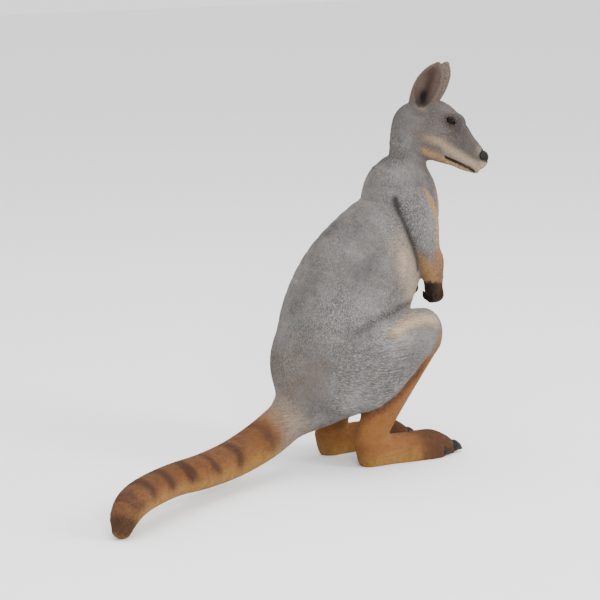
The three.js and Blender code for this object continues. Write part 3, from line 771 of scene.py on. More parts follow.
# %% Hind legs
def leg_paints(a):
    """Ochre shank and foot with brown toes, a cream knee, and painted shade where the thigh meets the belly
    and the tail, and under the thigh.
    """
    d, n, x, y, z = a.d, a.n, a.leg_x, a.leg_y, a.leg_z
    thigh_near = d["thigh"] < 8
    knee = near_line(x, z, KNEE_STRIPE, 7.5) * thigh_near * soft(y - 30, 0, 20)
    knee_edge = near_line(x, z, KNEE_STRIPE + [-8, -2], 9) * thigh_near * soft(y - 40, 0, 20)
    knee_front = soft(n[:, 0] - 0.3 * n[:, 2] + 0.02 * (x - 100), 0.12, 0.75)
    knee_front = knee_front * thigh_near * (x > 70) * soft(228 - z, 0, 40)
    # Dark brown on the shank where it lies close under the thigh: painted shade under the thigh.
    shade_under_thigh = a.low_leg * soft(17 - d["thigh"], 0, 15) * soft(118 - x, 0, 40) * soft(z, 50, 80)
    toes = a.low_leg * soft(x + 3 * a.rough - 0.2 * (40 - z), 70, 112) * soft(a.foot, 8, 2)
    outside = np.where(a.y < 0, soft(-a.y, 30, 60), a.y > 30)
    # Painted shade where the thigh meets the belly, and where it meets the tail.
    fold_shade = near_line(x, z, THIGH_CREASE, 7) * outside * soft(a.x + 75, 0, 70) * (1 - a.arm)
    tail_fold_shade = np.exp(-(np.maximum(d["thigh"], 0) + np.maximum(d["tail"], 0)) / 9)
    return {
        "cream": [0.66 * knee],
        "ochre": [a.low_leg, 0.85 * knee_front, 0.5 * knee_edge],
        "gold": [
            a.low_leg * soft(34 - z, 0, 30) * (1 - toes), knee_edge,
            0.5 * a.low_leg * soft(n[:, 0], 0, 0.9),
        ],
        "brown": [
            0.85 * toes, 0.85 * shade_under_thigh,
            0.3 * a.low_leg * soft(-n[:, 0], 0, 0.8) * soft(60 - z, 0, 40),
        ],
        "shade": [fold_shade, 0.5 * tail_fold_shade],
    }


print("paints on the legs:", *leg_paints(few_parts))


# %% Arms
def arm_paints(a):
    """Ochre forearm and front edge, a nearly black hand, and painted shade and shadow in the crease behind
    the arm.
    """
    d, n = a.d, a.n
    ahead = a.x - np.interp(a.z, *ARM_LINE)
    low = soft(345 - a.z, 0, 40)
    facing = soft(n[:, 0] + 0.8 * low - 0.25 * np.abs(n[:, 1]), 0.2, 0.9)
    front = a.arm * np.maximum(facing, soft(ahead + 10 * low, 11, 20))
    fore = a.arm * soft(316 - 0.6 * ahead + 4 * a.rough - a.z, -14, 26)
    # Painted shade behind the arm, where it meets the trunk, and over the back half of the upper arm.
    behind = np.exp(-(np.maximum(d["arm"], 0) + np.maximum(d["trunk"], 0)) / 6)
    behind = behind * soft(-ahead, 6, 16) * soft(412 - a.z, 0, 24)
    # A painted shadow along the crease behind the arm, in both the shade and the black paint.
    crease = near_line(a.x, a.z, ARM_CREASE, 4.0) * soft(np.abs(a.y), 28, 40) * (d["arm"] < 12)
    return {
        "cream": [0.2 * front * (1 - a.hand) * (1 - low)],
        "ochre": [0.85 * fore, 0.85 * front],
        "gold": [0.7 * fore * soft(-ahead, -4, 10), front * (a.z > 330)],
        "brown": [a.hand, 0.2 * fore * soft(ahead, -4, 10)],
        "black": [0.45 * a.hand, 0.8 * a.hand * soft(138 - a.x, -8, 10), 0.62 * crease],
        "shade": [0.9 * behind, crease, 0.3 * a.arm * soft(-ahead, 4, 24) * soft(400 - a.z, 0, 60)],
    }


print("paints on the arms:", *arm_paints(few_parts))

# %% [markdown]
# ## All the paints together
# Strokes of one paint don't add up, because a second coat of the same colour changes nothing. So the
# strongest stroke counts. The pale flecks are a dry brush over the whole grey coat, least on the warm
# colours, the tail and the feet.

# %% The strongest stroke of each paint
PARTS = [head_paints, trunk_paints, tail_paints, leg_paints, arm_paints]


def flecks(a, masks):
    fleck = np.clip(0.5 + 0.4 * wobble(a.p, 30, 11) + 0.3 * (a.d["thigh"] < 4) + 0.3 * a.arm, 0, 1)
    fleck = fleck * (1 - 0.75 * a.low_leg) * (1 - 0.7 * a.tail) * (1 - 0.35 * a.head) * (1 - a.hand)
    return fleck * (1 - 0.6 * np.clip(np.maximum(masks["ochre"], masks["cream"]), 0, 1))


def paints(p, n, found):
    """How much of each paint lies on each point, from 0 to 1."""
    a = parts_at(p, n, found)
    strokes = {name: [] for name in ("taupe", "cream", "ochre", "gold", "brown", "black", "pink", "shade")}
    for part_paints in PARTS:
        for name, layers in part_paints(a).items():
            strokes[name] += layers
    masks = {name: np.maximum.reduce(layers) for name, layers in strokes.items()}
    masks["fleck"] = flecks(a, masks)
    return {name: np.clip(value, 0, 1) for name, value in masks.items()}


# %% Measure the skin
normals = unit(slope_of(body, points))
found = measure_all(points)
lie = hair(found)
lie = unit(lie - dots(lie, normals)[:, None] * normals)
nearest = np.argmin([v[0] for v in found.values()], axis=0)
angle = np.choose(nearest, [v[2] for v in found.values()])
share = np.choose(nearest, [v[1] / limb.start[-1] for v, (name, limb, place) in zip(found.values(), LIMBS)])
turn = angle * np.array([limb.girth for name, limb, place in LIMBS])[nearest]
marks = paints(points, normals, found)
print({name: round(float(value.mean()), 3) for name, value in marks.items()})


# %% A mesh from points and faces
def make_piece(name, points, faces, material=None):
    mesh = bpy.data.meshes.new(name)
    faces = faces.tolist() if isinstance(faces, np.ndarray) else [[int(k) for k in face] for face in faces]
    mesh.from_pydata(to_metres(np.asarray(points)).tolist(), [], faces)
    mesh.polygons.foreach_set("use_smooth", [True] * len(mesh.polygons))
    mesh.update()
    piece = bpy.data.objects.new(name, mesh)
    bpy.context.scene.collection.objects.link(piece)
    if material:
        mesh.materials.append(material)
    return piece


def keep_numbers(mesh, values):
    """Stores one number for each vertex under each name."""
    for name, value in values.items():
        numbers = mesh.attributes.new(name, "FLOAT", "POINT")
        numbers.data.foreach_set("value", np.asarray(value, np.float32))


PLAIN_STRAND = 0.42  # what a lock draws by lot: bare skin is neither pale nor dark
skin = make_piece("statue_skin", points, quads)
keep_numbers(skin.data, marks | {"turn": turn / 1000, "strand": np.full(len(points), PLAIN_STRAND)})
print("skin has", len(skin.data.polygons), "faces and", len(skin.data.attributes), "attributes")

# %% [markdown]
# ## Mixing paint in a shader
# A shader is a graph of nodes, and long sums are hard to read as nodes. This small class lets a socket
# stand in a Python sum: `1 - mask` adds the Math node that works it out. Every other node comes from
# `Finish.node`, which takes its type, its settings and what goes in its sockets.

# %% Sums of sockets, and a finish with its nodes
class Value:
    """A socket that can be added, subtracted and multiplied; each sum makes a node."""

    def __init__(self, finish, socket):
        self.finish, self.socket = finish, socket

    def maths(self, operation, *values):
        return self.finish.node("ShaderNodeMath", {"operation": operation}, dict(enumerate(values)))

    def __add__(self, other):
        return self.maths("ADD", self, other)

    def __sub__(self, other):
        return self.maths("SUBTRACT", self, other)

    def __rsub__(self, other):
        return self.maths("SUBTRACT", other, self)

    def __mul__(self, other):
        return self.maths("MULTIPLY", self, other)

    __radd__ = __add__
    __rmul__ = __mul__

    def least(self, other):
        return self.maths("MINIMUM", self, other)

    def clipped(self):
        return self.finish.node("ShaderNodeClamp", None, {"Value": self})

    def step(self, low, high):
        """0 below `low`, 1 above `high` and smooth between."""
        sockets = {"Value": self, "From Min": low, "From Max": high}
        return self.finish.node("ShaderNodeMapRange", {"interpolation_type": "SMOOTHSTEP"}, sockets)


class Finish:
    """One material and the nodes that it is made of."""

    def __init__(self, name):
        self.material = bpy.data.materials.new(name)
        self.material.use_nodes = True
        self.tree = self.material.node_tree
        self.tree.nodes.clear()

    def node(self, kind, settings=None, sockets=None, out=0):
        node = self.tree.nodes.new(kind)
        for key, value in (settings or {}).items():
            setattr(node, key, value)
        for key, value in (sockets or {}).items():
            if isinstance(value, Value):
                self.tree.links.new(value.socket, node.inputs[key])
            else:
                node.inputs[key].default_value = value
        return Value(self, node.outputs[out]) if node.outputs else node

    def mark(self, name):
        return self.node("ShaderNodeAttribute", {"attribute_name": name}, out=2)

    def place(self):
        return self.node("ShaderNodeTexCoord", out=3)

    def vector(self, operation, *values):
        return self.node("ShaderNodeVectorMath", {"operation": operation}, dict(enumerate(values)))

    def scaled(self, vector, by):
        return self.node("ShaderNodeVectorMath", {"operation": "SCALE"}, {0: vector, "Scale": by})

    def noise(self, vector, scale, detail=2.0, rough=0.5):
        sockets = {"Vector": vector, "Scale": scale, "Detail": detail, "Roughness": rough}
        return self.node("ShaderNodeTexNoise", None, sockets)

    def mix(self, amount, first, second):
        return self.node("ShaderNodeMix", {"data_type": "RGBA"}, {0: amount, 6: first, 7: second}, out=2)

    def surface(self, colour, roughness, bumps=None, **constants):
        """Ends the graph: `bumps` is a height and its depth in metres."""
        sockets = {"Base Color": colour, "Roughness": roughness}
        if bumps:
            height, depth = bumps
            relief = {"Strength": 1.0, "Distance": depth, "Height": height}
            sockets["Normal"] = self.node("ShaderNodeBump", None, relief)
        sockets |= {key.replace("_", " "): value for key, value in constants.items()}
        shader = self.node("ShaderNodeBsdfPrincipled", None, sockets)
        self.node("ShaderNodeOutputMaterial", None, {"Surface": shader})
        return self.material


def tint(code):
    """A paint's colour from its hexadecimal code, as light adds it up."""
    parts = [int(code[k:k + 2], 16) / 255 for k in (0, 2, 4)]
    return [v / 12.92 if v < 0.04 else ((v + 0.055) / 1.055) ** 2.4 for v in parts] + [1.0]


print("a middle grey gives", [round(v, 3) for v in tint("808080")])


# %% [markdown]
# ## The coat's paint
# The figure is sprayed grey, with painted shade in its creases and in the low places of the cut hair, then
# the ochre, cream and brown are brushed on in thin coats, and a nearly dry brush leaves pale flecks on top
# of the cut hair. The strokes follow the hair because their noise is fast round a limb and slow along it.

# %% Coat paint
PAINT = dict(
    grey="686563", dark_grey="484544", taupe="524339", cream="a3917b", ochre="76481a", gold="865f27",
    brown="2c160b", black="070504", pink="452c22", pale="a5a29f",
)
PAINT = {name: tint(code) for name, code in PAINT.items()}
HAIR_DEPTH = 0.0006  # how deep the cut hair looks between the locks, in metres


def coat_finish(name):
    f = Finish(name)
    place = f.place()
    round_limb = f.node("ShaderNodeCombineXYZ", None, {0: f.mark("turn") * 800.0})
    fine = f.noise(f.vector("ADD", round_limb, f.scaled(place, 430.0)), 1.0, 2.0, 0.6)
    broad = f.noise(place, 16.0, 4.0, 0.6)
    blotch = f.noise(place, 60.0, 3.0, 0.6)
    grain = f.noise(place, 700.0, 2.0)
    strand = f.mark("strand")
    edge = (fine - 0.5) * 0.5 + (strand - 0.5) * 0.3 + (blotch - 0.5) * 0.3

    def laid(name, strength=1.0):
        mask = f.mark(name)
        return (mask + edge * (mask * 4.0).least(1.0)).clipped() * strength

    colour = f.mix(broad.step(0.3, 0.72), PAINT["dark_grey"], PAINT["grey"])
    colour = f.mix(blotch.step(0.45, 0.8) * 0.35, colour, PAINT["taupe"])
    colour = f.mix(laid("taupe"), colour, PAINT["taupe"])
    colour = f.mix(laid("pink"), colour, PAINT["pink"])
    earth = f.mix(laid("gold"), PAINT["ochre"], PAINT["gold"])
    earth = f.mix(blotch.step(0.4, 0.85) * 0.35, earth, PAINT["brown"])
    colour = f.mix(laid("ochre", 0.95), colour, earth)
    colour = f.mix(laid("cream"), colour, PAINT["cream"])
    colour = f.mix(laid("brown", 0.92), colour, PAINT["brown"])
    # Painted shade in the creases and where parts meet, and the darker grey of the muzzle and face, mixed
    # towards black.
    colour = f.mix(laid("shade", 0.72), colour, PAINT["black"])
    # Painted shade in the low places of the cut hair, where the bump is low, and some locks darker by lot.
    hollow_shade_and_dark_locks = (0.52 - fine).step(0.0, 0.25) * 0.45 + (0.4 - strand).step(0.0, 0.4) * 0.25
    colour = f.mix(hollow_shade_and_dark_locks, colour, PAINT["black"])
    brushed = (fine.step(0.5, 0.68) * 0.45 + strand.step(0.62, 1.0) * 0.4) * f.mark("fleck")
    colour = f.mix(brushed, colour, PAINT["pale"])
    colour = f.mix(laid("black"), colour, PAINT["black"])
    relief = (fine * 0.8 + grain * 0.2, HAIR_DEPTH)
    return f.surface(colour, 0.8 - 0.15 * fine, relief, IOR=1.4, Specular_IOR_Level=0.25)


coat_paint = coat_finish("coat_paint")
skin.data.materials.append(coat_paint)
print("coat paint has", len(coat_paint.node_tree.nodes), "nodes")

# %% [markdown]
# ## Cut hair that stands off the skin
# On the real figure short locks were cut into the clay, so its outline is not quite smooth and light
# catches on their edges. Particle hair would be lost in an export, and a finer skin would cost far more
# faces. So one small solid lock of four faces is set on thousands of points by Geometry Nodes, laid the
# way the hair lies. Each lock reads the paint at its root, and a number of its own makes some of them
# pale, as a dry brush does. The locks are smallest on the head, and the hands' fingers, the mouth line,
# the eyelids and the ear holes stay bare.

# %% Roots of the locks
LOCKS = {  # where they grow: how many, then length, width and height in mm
    "trunk": (["trunk", "neck"], 49000, (5.2, 1.1, 0.36)),
    "legs": (["thigh", "shank", "sole", "long_toe", "outer_toe", "joined_toes"], 49000, (4.4, 1.05, 0.38)),
    "head": (["skull", "muzzle", "jaw", "ear"], 42000, (2.8, 0.7, 0.22)),
    "arms_tail": (["arm", "palm", "tail"], 49000, (4.6, 1.0, 0.36)),
}
LIMB_NAMES = [name for name, limb, place in LIMBS]
MIDDLE_LIMBS = 3  # trunk, neck and tail come first and have no left and right
BARE_SOLE = 5  # no locks lower than this, mm, where the statue rests on the floor
FINGER_HEIGHT = 255  # the curled fingers lie within 20 mm of this height


def unwrapped():
    """A place on a flat sheet for every vertex: a tile for each limb and side, along it and round it."""
    columns = 4
    column, row = nearest % columns, nearest // columns
    side = np.where(nearest < MIDDLE_LIMBS, 0, np.where(in_head(points)[:, 1] < 0, 1, 2))
    across = (angle / (2 * np.pi) + 0.5) * np.where(side > 0, 0.44, 0.94) + np.where(side == 2, 0.5, 0.03)
    return np.stack([(column + across) / columns, (row + 0.03 + 0.94 * share) / columns, 0 * share], 1)


def pick_roots(kinds, count, seed):
    """Places spread evenly by area over these limbs: a quad's corners and their shares in each place."""
    rng = np.random.default_rng(seed)
    corners = points[quads]
    area = np.linalg.norm(np.cross(corners[:, 2] - corners[:, 0], corners[:, 3] - corners[:, 1]), axis=1)
    wanted = np.isin(nearest[quads[:, 0]], [LIMB_NAMES.index(k) for k in kinds])
    middle = corners.mean(1)
    bare = (marks["black"][quads].max(1) > 0.5) | (middle[:, 2] < BARE_SOLE)
    beside_fingers = (np.abs(middle[:, 1]) < 56) & (middle[:, 0] > 112)
    bare |= beside_fingers & (np.abs(middle[:, 2] - FINGER_HEIGHT) < 20)
    area = area * wanted * ~bare
    chosen = rng.choice(len(quads), count, p=area / area.sum())
    a, b = rng.random(count), rng.random(count)
    weights = np.stack([(1 - a) * (1 - b), a * (1 - b), a * b, (1 - a) * b], 1)
    return quads[chosen], weights, rng


def at_roots(values, roots, weights):
    return np.einsum("nk,nk...->n...", weights, values[roots])


sheet = unwrapped()
print("unwrapped sheet spans", sheet.min(0).round(2), sheet.max(0).round(2))


# %% One lock
def lock_shape():
    """Four faces: a ridge that starts in the skin and rises to the tip, and two sunk flanks."""
    place = [[0, 0, 0.05], [0.38, 0.5, -0.55], [0.38, -0.5, -0.55], [1.0, 0, 0.6]]
    faces = [[0, 3, 1], [0, 2, 3], [0, 1, 2], [1, 3, 2]]
    mesh = bpy.data.meshes.new("lock_shape")
    mesh.from_pydata(place, [], faces)
    patch = mesh.attributes.new("patch", "FLOAT_VECTOR", "POINT")
    patch.data.foreach_set("vector", np.array([[x - 0.5, y, 0] for x, y, z in place], np.float32).ravel())
    return set_outwards(bpy.data.objects.new("lock_shape", mesh))


def set_outwards(piece):
    shape = bmesh.new()
    shape.from_mesh(piece.data)
    bmesh.ops.recalc_face_normals(shape, faces=shape.faces)
    shape.to_mesh(piece.data)
    shape.free()
    return piece


lock = lock_shape()
bpy.context.scene.collection.objects.link(lock)
PATCH = 0.003  # size of one lock's patch on the unwrapped sheet
print("one lock has", len(lock.data.polygons), "faces")

# %% [markdown]
# ## The tree that sets the locks
# Each root is a point with its normal, the way its hair lies and a size of its own. The tree stands a
# copy of the lock on every root, turns it, makes the copies real and writes each lock's patch on the
# unwrapped sheet, so that a lock can be coloured from its root when the paint is baked.

# %% The tree's inputs and nodes
TREE_INPUTS = dict(
    Roots="Geometry", Lock="Object", Length="Float", Width="Float", Height="Float", Patch="Float",
    Paint="Material",
)


def lock_tree():
    tree = bpy.data.node_groups.new("set_locks", "GeometryNodeTree")
    for name, kind in TREE_INPUTS.items():
        tree.interface.new_socket(name, in_out="INPUT", socket_type="NodeSocket" + kind)
    tree.interface.new_socket("Locks", in_out="OUTPUT", socket_type="NodeSocketGeometry")

    def node(kind, settings=None, sockets=None):
        made = tree.nodes.new(kind)
        for key, value in (settings or {}).items():
            setattr(made, key, value)
        for key, value in (sockets or {}).items():
            if isinstance(value, bpy.types.NodeSocket):
                tree.links.new(value, made.inputs[key])
            else:
                made.inputs[key].default_value = value
        return made.outputs

    def mark(name):
        return node("GeometryNodeInputNamedAttribute", {"data_type": "FLOAT_VECTOR"}, {"Name": name})[0]

    def vector(operation, sockets):
        return node("ShaderNodeVectorMath", {"operation": operation}, sockets)[0]

    def aligned(settings, sockets):
        return node("FunctionNodeAlignRotationToVector", settings, sockets)[0]

    given = node("NodeGroupInput")
    upright = aligned({"axis": "Z"}, {"Vector": mark("root_normal")})
    laid = aligned({"axis": "X", "pivot_axis": "Z"}, {"Rotation": upright, "Vector": mark("root_lie")})
    size = node("ShaderNodeCombineXYZ", None, {0: given["Length"], 1: given["Width"], 2: given["Height"]})
    varied = vector("MULTIPLY", {0: size[0], 1: mark("root_size")})
    shape = node("GeometryNodeObjectInfo", None, {"Object": given["Lock"]})
    copies = {"Points": given["Roots"], "Instance": shape["Geometry"], "Rotation": laid, "Scale": varied}
    spread = node("GeometryNodeInstanceOnPoints", None, copies)
    solid = node("GeometryNodeRealizeInstances", None, {0: spread[0]})
    small = vector("SCALE", {0: mark("patch"), "Scale": given["Patch"]})
    flat = vector("ADD", {0: mark("root_sheet"), 1: small})
    on_corners = {"data_type": "FLOAT2", "domain": "CORNER"}
    stored = {"Geometry": solid[0], "Name": "OFBake", "Value": flat}
    kept = node("GeometryNodeStoreNamedAttribute", on_corners, stored)
    painted = node("GeometryNodeSetMaterial", None, {"Geometry": kept[0], "Material": given["Paint"]})
    node("NodeGroupOutput", None, {0: painted[0]})
    return tree


set_locks = lock_tree()
print("lock tree has", len(set_locks.nodes), "nodes")


# %% Grow the locks
def root_cloud(name, kinds, count, seed):
    """A mesh of loose points with their paints, and the names of the vectors that it carries."""
    roots, weights, rng = pick_roots(kinds, count, seed)
    place = at_roots(points, roots, weights)
    normal = unit(at_roots(normals, roots, weights))
    sway = rng.normal(size=(count, 3)) * 0.13
    way = unit(at_roots(lie, roots, weights) + sway) - 0.05 * normal
    cloud = bpy.data.meshes.new(name + "_roots")
    cloud.from_pydata(to_metres(place).tolist(), [], [])
    values = {mark: at_roots(value, roots, weights) for mark, value in marks.items()}
    values |= {"turn": turn[roots[:, 0]] / 1000, "strand": rng.random(count)}
    keep_numbers(cloud, values)
    sizes = [rng.uniform(low, high, count) for low, high in ((0.65, 1.2), (0.75, 1.15), (0.5, 1.1))]
    vectors = {
        "root_normal": normal, "root_lie": way, "root_sheet": sheet[roots[:, 0]],
        "root_size": np.stack(sizes, 1),
    }
    for mark, value in vectors.items():
        carried = cloud.attributes.new(mark, "FLOAT_VECTOR", "POINT")
        carried.data.foreach_set("vector", value.astype(np.float32).ravel())
    return cloud, list(vectors)


def grow_locks(name, kinds, count, size, seed):
    cloud, helpers = root_cloud(name, kinds, count, seed)
    holder = bpy.data.objects.new(name, cloud)
    bpy.context.scene.collection.objects.link(holder)
    grower = holder.modifiers.new("grow", "NODES")
    grower.node_group = set_locks
    items = set_locks.interface.items_tree
    inputs = {item.name: item.identifier for item in items if item.in_out == "INPUT"}
    length, width, height = (v / 1000 for v in size)
    settings = dict(Lock=lock, Length=length, Width=width, Height=height, Patch=PATCH, Paint=coat_paint)
    for key, value in settings.items():
        grower[inputs[key]] = value
    seen = holder.evaluated_get(bpy.context.evaluated_depsgraph_get())
    mesh = bpy.data.meshes.new_from_object(seen)
    mesh.name = name
    kept = np.empty(len(mesh.vertices) * 3, np.float32)
    mesh.vertices.foreach_get("co", kept)
    mesh.vertices.foreach_set("co", np.clip(kept.reshape(-1, 3), *solid_box).ravel())
    for mark in [*helpers, "patch"]:
        if mark in mesh.attributes:
            mesh.attributes.remove(mesh.attributes[mark])
    holder.modifiers.clear()
    holder.data = mesh
    bpy.data.meshes.remove(cloud)
    return holder


THINNED = 1
FIRST_SEED = 20
lock_pieces = []
for k, (name, (kinds, count, size)) in enumerate(LOCKS.items()):
    lock_pieces.append(grow_locks("coat_locks_" + name, kinds, count // THINNED, size, FIRST_SEED + k))
bpy.data.objects.remove(lock)
for piece in lock_pieces:
    print(piece.name, len(piece.data.polygons), "faces, map", [layer.name for layer in piece.data.uv_layers])

# %% [markdown]
# ## Eyes, nose and claws
# These are smooth parts of the casting with their own gloss paint. An eyeball is a ball with a slightly
# higher cornea; its brown iris shows only as a faint ring round the pupil. The nose is a pad with two
# comma-shaped nostrils, so it is made from a small field of its own.

# %% Rings of points to a closed mesh
def loft(first, rings, last):
    """Faces of a closed skin from rings of equal length, with a point at either end."""
    n, count = len(rings[0]), len(rings)
    points = np.concatenate([[first], *rings, [last]])
    i, j = np.arange(n), (np.arange(n) + 1) % n
    faces = [[0, 1 + b, 1 + a] for a, b in zip(i, j)]
    for r in range(count - 1):
        here, there = 1 + r * n, 1 + (r + 1) * n
        faces += [[here + a, here + b, there + b, there + a] for a, b in zip(i, j)]
    faces += [[count * n + 1, 1 + (count - 1) * n + a, 1 + (count - 1) * n + b] for a, b in zip(i, j)]
    return points, faces


print("a cone of one ring of 4 has", len(loft([0, 0, 1], [np.zeros((4, 3))], [0, 0, 0])[1]), "faces")


# %% Eyes
CORNEA = 0.35  # how far the clear front stands over the ball, mm
IRIS = (2.8, 3.6, 4.6, 5.8)  # from the eye's axis: where the brown begins, is full, starts to end, ends


def eyeball(side):
    rows, columns = 28, 48
    flip = np.array([1, 1 if side == "left" else -1, 1])
    rings, away = [], []
    for r in range(1, rows):
        polar = np.pi * r / rows
        around = np.arange(columns) * 2 * np.pi / columns
        radius = EYE["radius"] + CORNEA * np.exp(-((polar / 0.55) ** 2)) - 0.25
        spread = np.cos(around)[:, None] * EYE_FORE + np.sin(around)[:, None] * EYE_UP
        rings.append((np.cos(polar) * EYE_OUT + np.sin(polar) * spread) * radius + EYE["at"])
        away += [np.sin(polar) * radius if polar < np.pi / 2 else 9.0] * columns
    front = np.array(EYE["at"]) + EYE_OUT * (EYE["radius"] + 0.1)
    back = np.array(EYE["at"]) - EYE_OUT * (EYE["radius"] - 0.25)
    points, faces = loft(front, rings, back)
    piece = set_outwards(make_piece("eye_ball_" + side, out_of_head(points * flip), faces, eye_paint))
    keep_numbers(piece.data, {"from_axis": [0.0] + away + [9.0]})
    return piece


def eye_finish():
    f = Finish("eye_gloss")
    ring = f.mark("from_axis")
    threads = f.noise(f.place(), 900.0, 3.0)
    iris = ring.step(*IRIS[:2]) * (1 - ring.step(*IRIS[2:]))
    brown = f.mix(threads.step(0.35, 0.65), tint("0c0603"), tint("1c0e07"))
    colour = f.mix(iris, tint("020202"), brown)
    return f.surface(colour, 0.04 + 0.03 * threads, IOR=1.38, Specular_IOR_Level=0.14)


eye_paint = eye_finish()
eyes = {side: eyeball(side) for side in ("left", "right")}
print("eyes", [len(e.data.polygons) for e in eyes.values()])


# %% Nose
NOSTRIL = np.array([[3.0, -1.6], [5.2, -0.6], [6.6, 1.6], [6.2, 3.6]])  # sideways and up, mm


def nose_field(q):
    at, size = np.array(NOSE["at"]), np.array(NOSE["size"]) - 0.3
    v = q - at
    side = np.abs(v[:, 1])
    d = oval(v[:, 0], v[:, 1], v[:, 2], *size)
    nostril = to_path(side, v[:, 2], NOSTRIL)
    d = d + 2.2 * np.exp(-((nostril / 1.15) ** 2)) * (v[:, 0] > 0)
    groove = np.exp(-((side / 0.8) ** 2)) * soft(-v[:, 2], -1, 3) * (v[:, 0] > 0)
    return d + 0.9 * groove - 0.25 * np.exp(-(((nostril - 2.4) / 1.1) ** 2))


def nose_finish():
    f = Finish("nose_gloss")
    place = f.place()
    cells = {"Vector": place, "Scale": 900.0}
    leather = f.node("ShaderNodeTexVoronoi", {"feature": "DISTANCE_TO_EDGE"}, cells)
    worn = f.noise(place, 140.0, 3.0)
    colour = f.mix(worn.step(0.4, 0.75), tint("020202"), tint("0b0a0b"))
    relief = (leather.step(0.0, 0.25), 0.00012)
    return f.surface(colour, 0.34 + 0.2 * worn, relief, IOR=1.4, Specular_IOR_Level=0.3)


NOSE_STEP = 0.6
nose_lines = [c + NOSE_STEP * (np.arange(37) - 18) for c in NOSE["at"]]
nose_points, nose_faces = skin_of(nose_field, nose_lines)
nose_points = settle(nose_field, nose_points, NOSE_STEP / 2)
nose = set_outwards(make_piece("nose_pad", out_of_head(nose_points), nose_faces, nose_finish()))
print("nose", len(nose.data.polygons), "faces")


# %% [markdown]
# ## Claws
# The claws are painted black with a satin sheen. Each is a curved cone with a low keel on its top, made
# from the same smooth line as a limb. The toes have four on each foot and the fingers five on each hand,
# small and tucked in, because the hands hang half closed.

# %% A claw
TOE_CLAWS = {  # forward, sideways, up and radius in mm, drawn on the left
    "long": [[157, 51, 12, 7.5], [166, 51, 10.8, 9.8], [175, 51, 8.4, 6.8], [183, 51, 4.2, 2.1]],
    "outer": [[132, 62.5, 9.5, 5], [139, 62.5, 8.6, 7.5], [147, 62.3, 6.4, 4.8], [155, 61.5, 3.5, 1.5]],
    "third": [[124, 34.5, 8.5, 2.4], [131, 34.5, 8, 2.6], [136, 34.5, 5.5, 1.8], [139, 34.5, 3.4, 0.8]],
    "second": [[124, 29, 8, 2.4], [130, 29, 7.5, 2.5], [135, 29, 5.2, 1.7], [138, 29, 3.2, 0.8]],
}


def claw(stations, sides=20):
    """A curved cone of round rings, with a low keel along its top."""
    line = smooth_line([s + [s[3]] for s in stations], 5)
    along = unit(np.gradient(line[:, :3], axis=0))
    side = unit(np.cross([0, 0, 1], along))
    up = np.cross(along, side)
    turn = np.arange(sides) * 2 * np.pi / sides
    keel = 1 + 0.07 * np.cos(turn - np.pi / 2) ** 9
    rings = []
    for centre, s, u in zip(line, side, up):
        ring = (np.cos(turn) * keel)[:, None] * s + (np.sin(turn) * keel)[:, None] * u
        rings.append(centre[:3] + centre[3] * 0.97 * ring)
    tip = line[-1, :3] + (line[-1, :3] - line[-2, :3]) * 0.6
    return loft(line[0, :3], rings, tip)


print("the long toe's claw has", len(claw(TOE_CLAWS["long"])[1]), "faces")


# %% Claw paint and the sets of claws
def claw_finish():
    f = Finish("claw_satin")
    place = f.place()
    grain = f.noise(f.vector("MULTIPLY", place, (160.0, 900.0, 500.0)), 1.0, 3.0)
    colour = f.mix(grain.step(0.35, 0.75), tint("040405"), tint("141110"))
    return f.surface(colour, 0.45 + 0.2 * grain, (grain, 0.0002), IOR=1.4, Specular_IOR_Level=0.3)


def claw_set(name, claws, material):
    points, faces = [], []
    for p, f in claws:
        faces += [[k + len(points) for k in face] for face in f]
        points += p.tolist()
    return set_outwards(make_piece(name, points, faces, material))


FINGER_CLAW = [(0, 0, 1.8), (1.0, 1.8, 1.6), (1.2, 3.2, 0.8)]  # back, up from the tip, and radius
claw_paint = claw_finish()
claw_pieces = []
for side, s, back in (("left", 1, LEFT_BACK), ("right", -1, 0)):
    toes = [claw([[x - back, s * y, z, r] for x, y, z, r in line]) for line in TOE_CLAWS.values()]
    tips = []
    for i in range(FINGERS["count"]):
        x, y, z = finger_line(i)[-1][:3]
        tips.append(claw([[x - aft, s * y, z + high, r] for aft, high, r in FINGER_CLAW], 10))
    toe_piece = claw_set("toe_claws_" + side, toes, claw_paint)
    tip_piece = claw_set("finger_claws_" + side, tips, claw_paint)
    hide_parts(*[f"claw_{toe}_toe_{side}" for toe in TOE_CLAWS])
    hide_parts(*[f"claw_finger_{i + 1}_{side}" for i in range(FINGERS["count"])])
    claw_pieces += [toe_piece, tip_piece]
print(len(claw_pieces), "sets of claws")

# %% [markdown]
# ## What each piece stands for
# One skin takes the place of every solid of flesh, so no cut shows. Eyes, nose and claws take the
# place of their own solids. Nothing moves, so all of them ride on the one body.

# %% Ride and replace
FLESH = ["trunk", "neck", "head", "tail_base", "tail_middle", "tail_tip"]
PAIRED = ["ear", "thigh", "shank", "foot", "upper_arm", "forearm", "hand"]
FLESH += [f"{name}_{side}" for name in PAIRED for side in ("left", "right")]
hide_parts(*FLESH)
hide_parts("nose")
for side, piece in eyes.items():
    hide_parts("eye_" + side)
SLOTS = {"coat_grey": [skin, *lock_pieces], "gloss_black": [nose, *eyes.values()], "claw_black": claw_pieces}
for slot, pieces in SLOTS.items():
    for piece in pieces:
        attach(piece, "root")
print("flesh nodes replaced:", len(FLESH))

# %% [markdown]
# ## Floor, light and camera
# A plain pale floor and large soft lights show the form without hard shadows. The camera stands a
# little to the animal's right and rear, just above its middle, with a long lens.

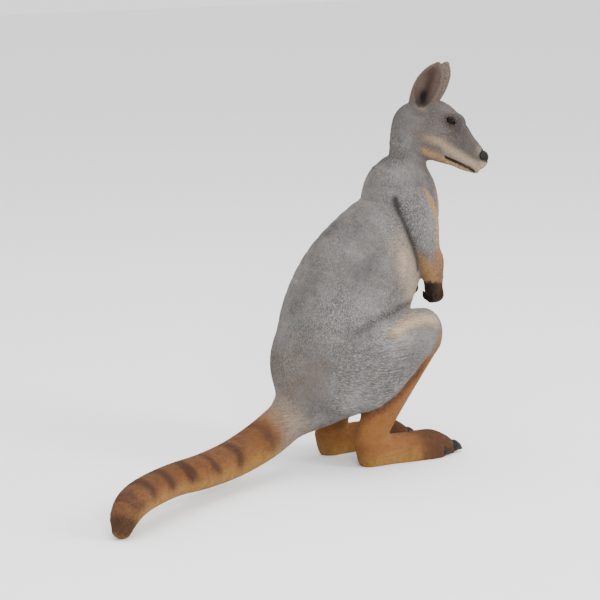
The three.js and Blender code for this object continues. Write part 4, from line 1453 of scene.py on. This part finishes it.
# %% Floor and lights
FLOOR_HALF = 9e3  # mm
LIGHTS = {  # place and aim in metres, size in metres and power in watts
    "key": ((1.9, -2.2, 1.9), (0, 0, 0.3), 1.1, 72),
    "fill": ((-2.2, -2.0, 1.5), (0, 0, 0.3), 2.4, 32),
    "top": ((0.2, 0.2, 3.0), (0, 0, 0.2), 2.5, 60),
    "catch": ((-0.9, -2.6, 1.5), (0.2, 0, 0.5), 0.45, 42),
}
SKY = 1.5  # strength of the even white light all round


def put(name, data, place, facing):
    """Sets a lamp or a camera on its place, looking the way that `facing` points."""
    holder = bpy.data.objects.new(name, data)
    holder.location = Vector([float(v) for v in place])
    holder.rotation_euler = Vector([float(v) for v in facing]).to_track_quat("-Z", "Y").to_euler()
    bpy.context.scene.collection.objects.link(holder)
    return holder


corners = FLOOR_HALF * np.array([[-1, -1, 0], [1, -1, 0], [1, 1, 0], [-1, 1, 0]]) + MIDDLE
floor_paint = Finish("floor_pale").surface((0.9, 0.9, 0.9, 1.0), 0.9)
make_piece("floor", corners, [[0, 1, 2, 3]], floor_paint)
for name, (place, aim, size, power) in LIGHTS.items():
    lamp = bpy.data.lights.new(name, "AREA")
    lamp.shape, lamp.size, lamp.energy = "DISK", size, power
    put(name, lamp, place, np.subtract(aim, place))
world = bpy.data.worlds.new("studio")
world.use_nodes = True
backdrop = world.node_tree.nodes["Background"]
backdrop.inputs["Color"].default_value = (1, 1, 1, 1)
backdrop.inputs["Strength"].default_value = SKY
bpy.context.scene.world = world
print(len(LIGHTS), "lamps,", sum(values[-1] for values in LIGHTS.values()), "watts")

# %% Camera
AIM = to_metres(np.array([-80.7, 3.6, 259.8]))
AZIMUTH, ELEVATION, DISTANCE = np.radians(-32), np.radians(11.5), 3.3
LENS, SENSOR = 132, 36  # mm
level = np.array([np.sin(AZIMUTH), -np.cos(AZIMUTH), 0]) * np.cos(ELEVATION)
towards = level + np.array([0, 0, np.sin(ELEVATION)])
lens = bpy.data.cameras.new("camera")
lens.lens, lens.sensor_width = LENS, SENSOR
bpy.context.scene.camera = put("camera", lens, AIM + towards * DISTANCE, -towards)
print("camera", DISTANCE, "m from the middle of the statue")
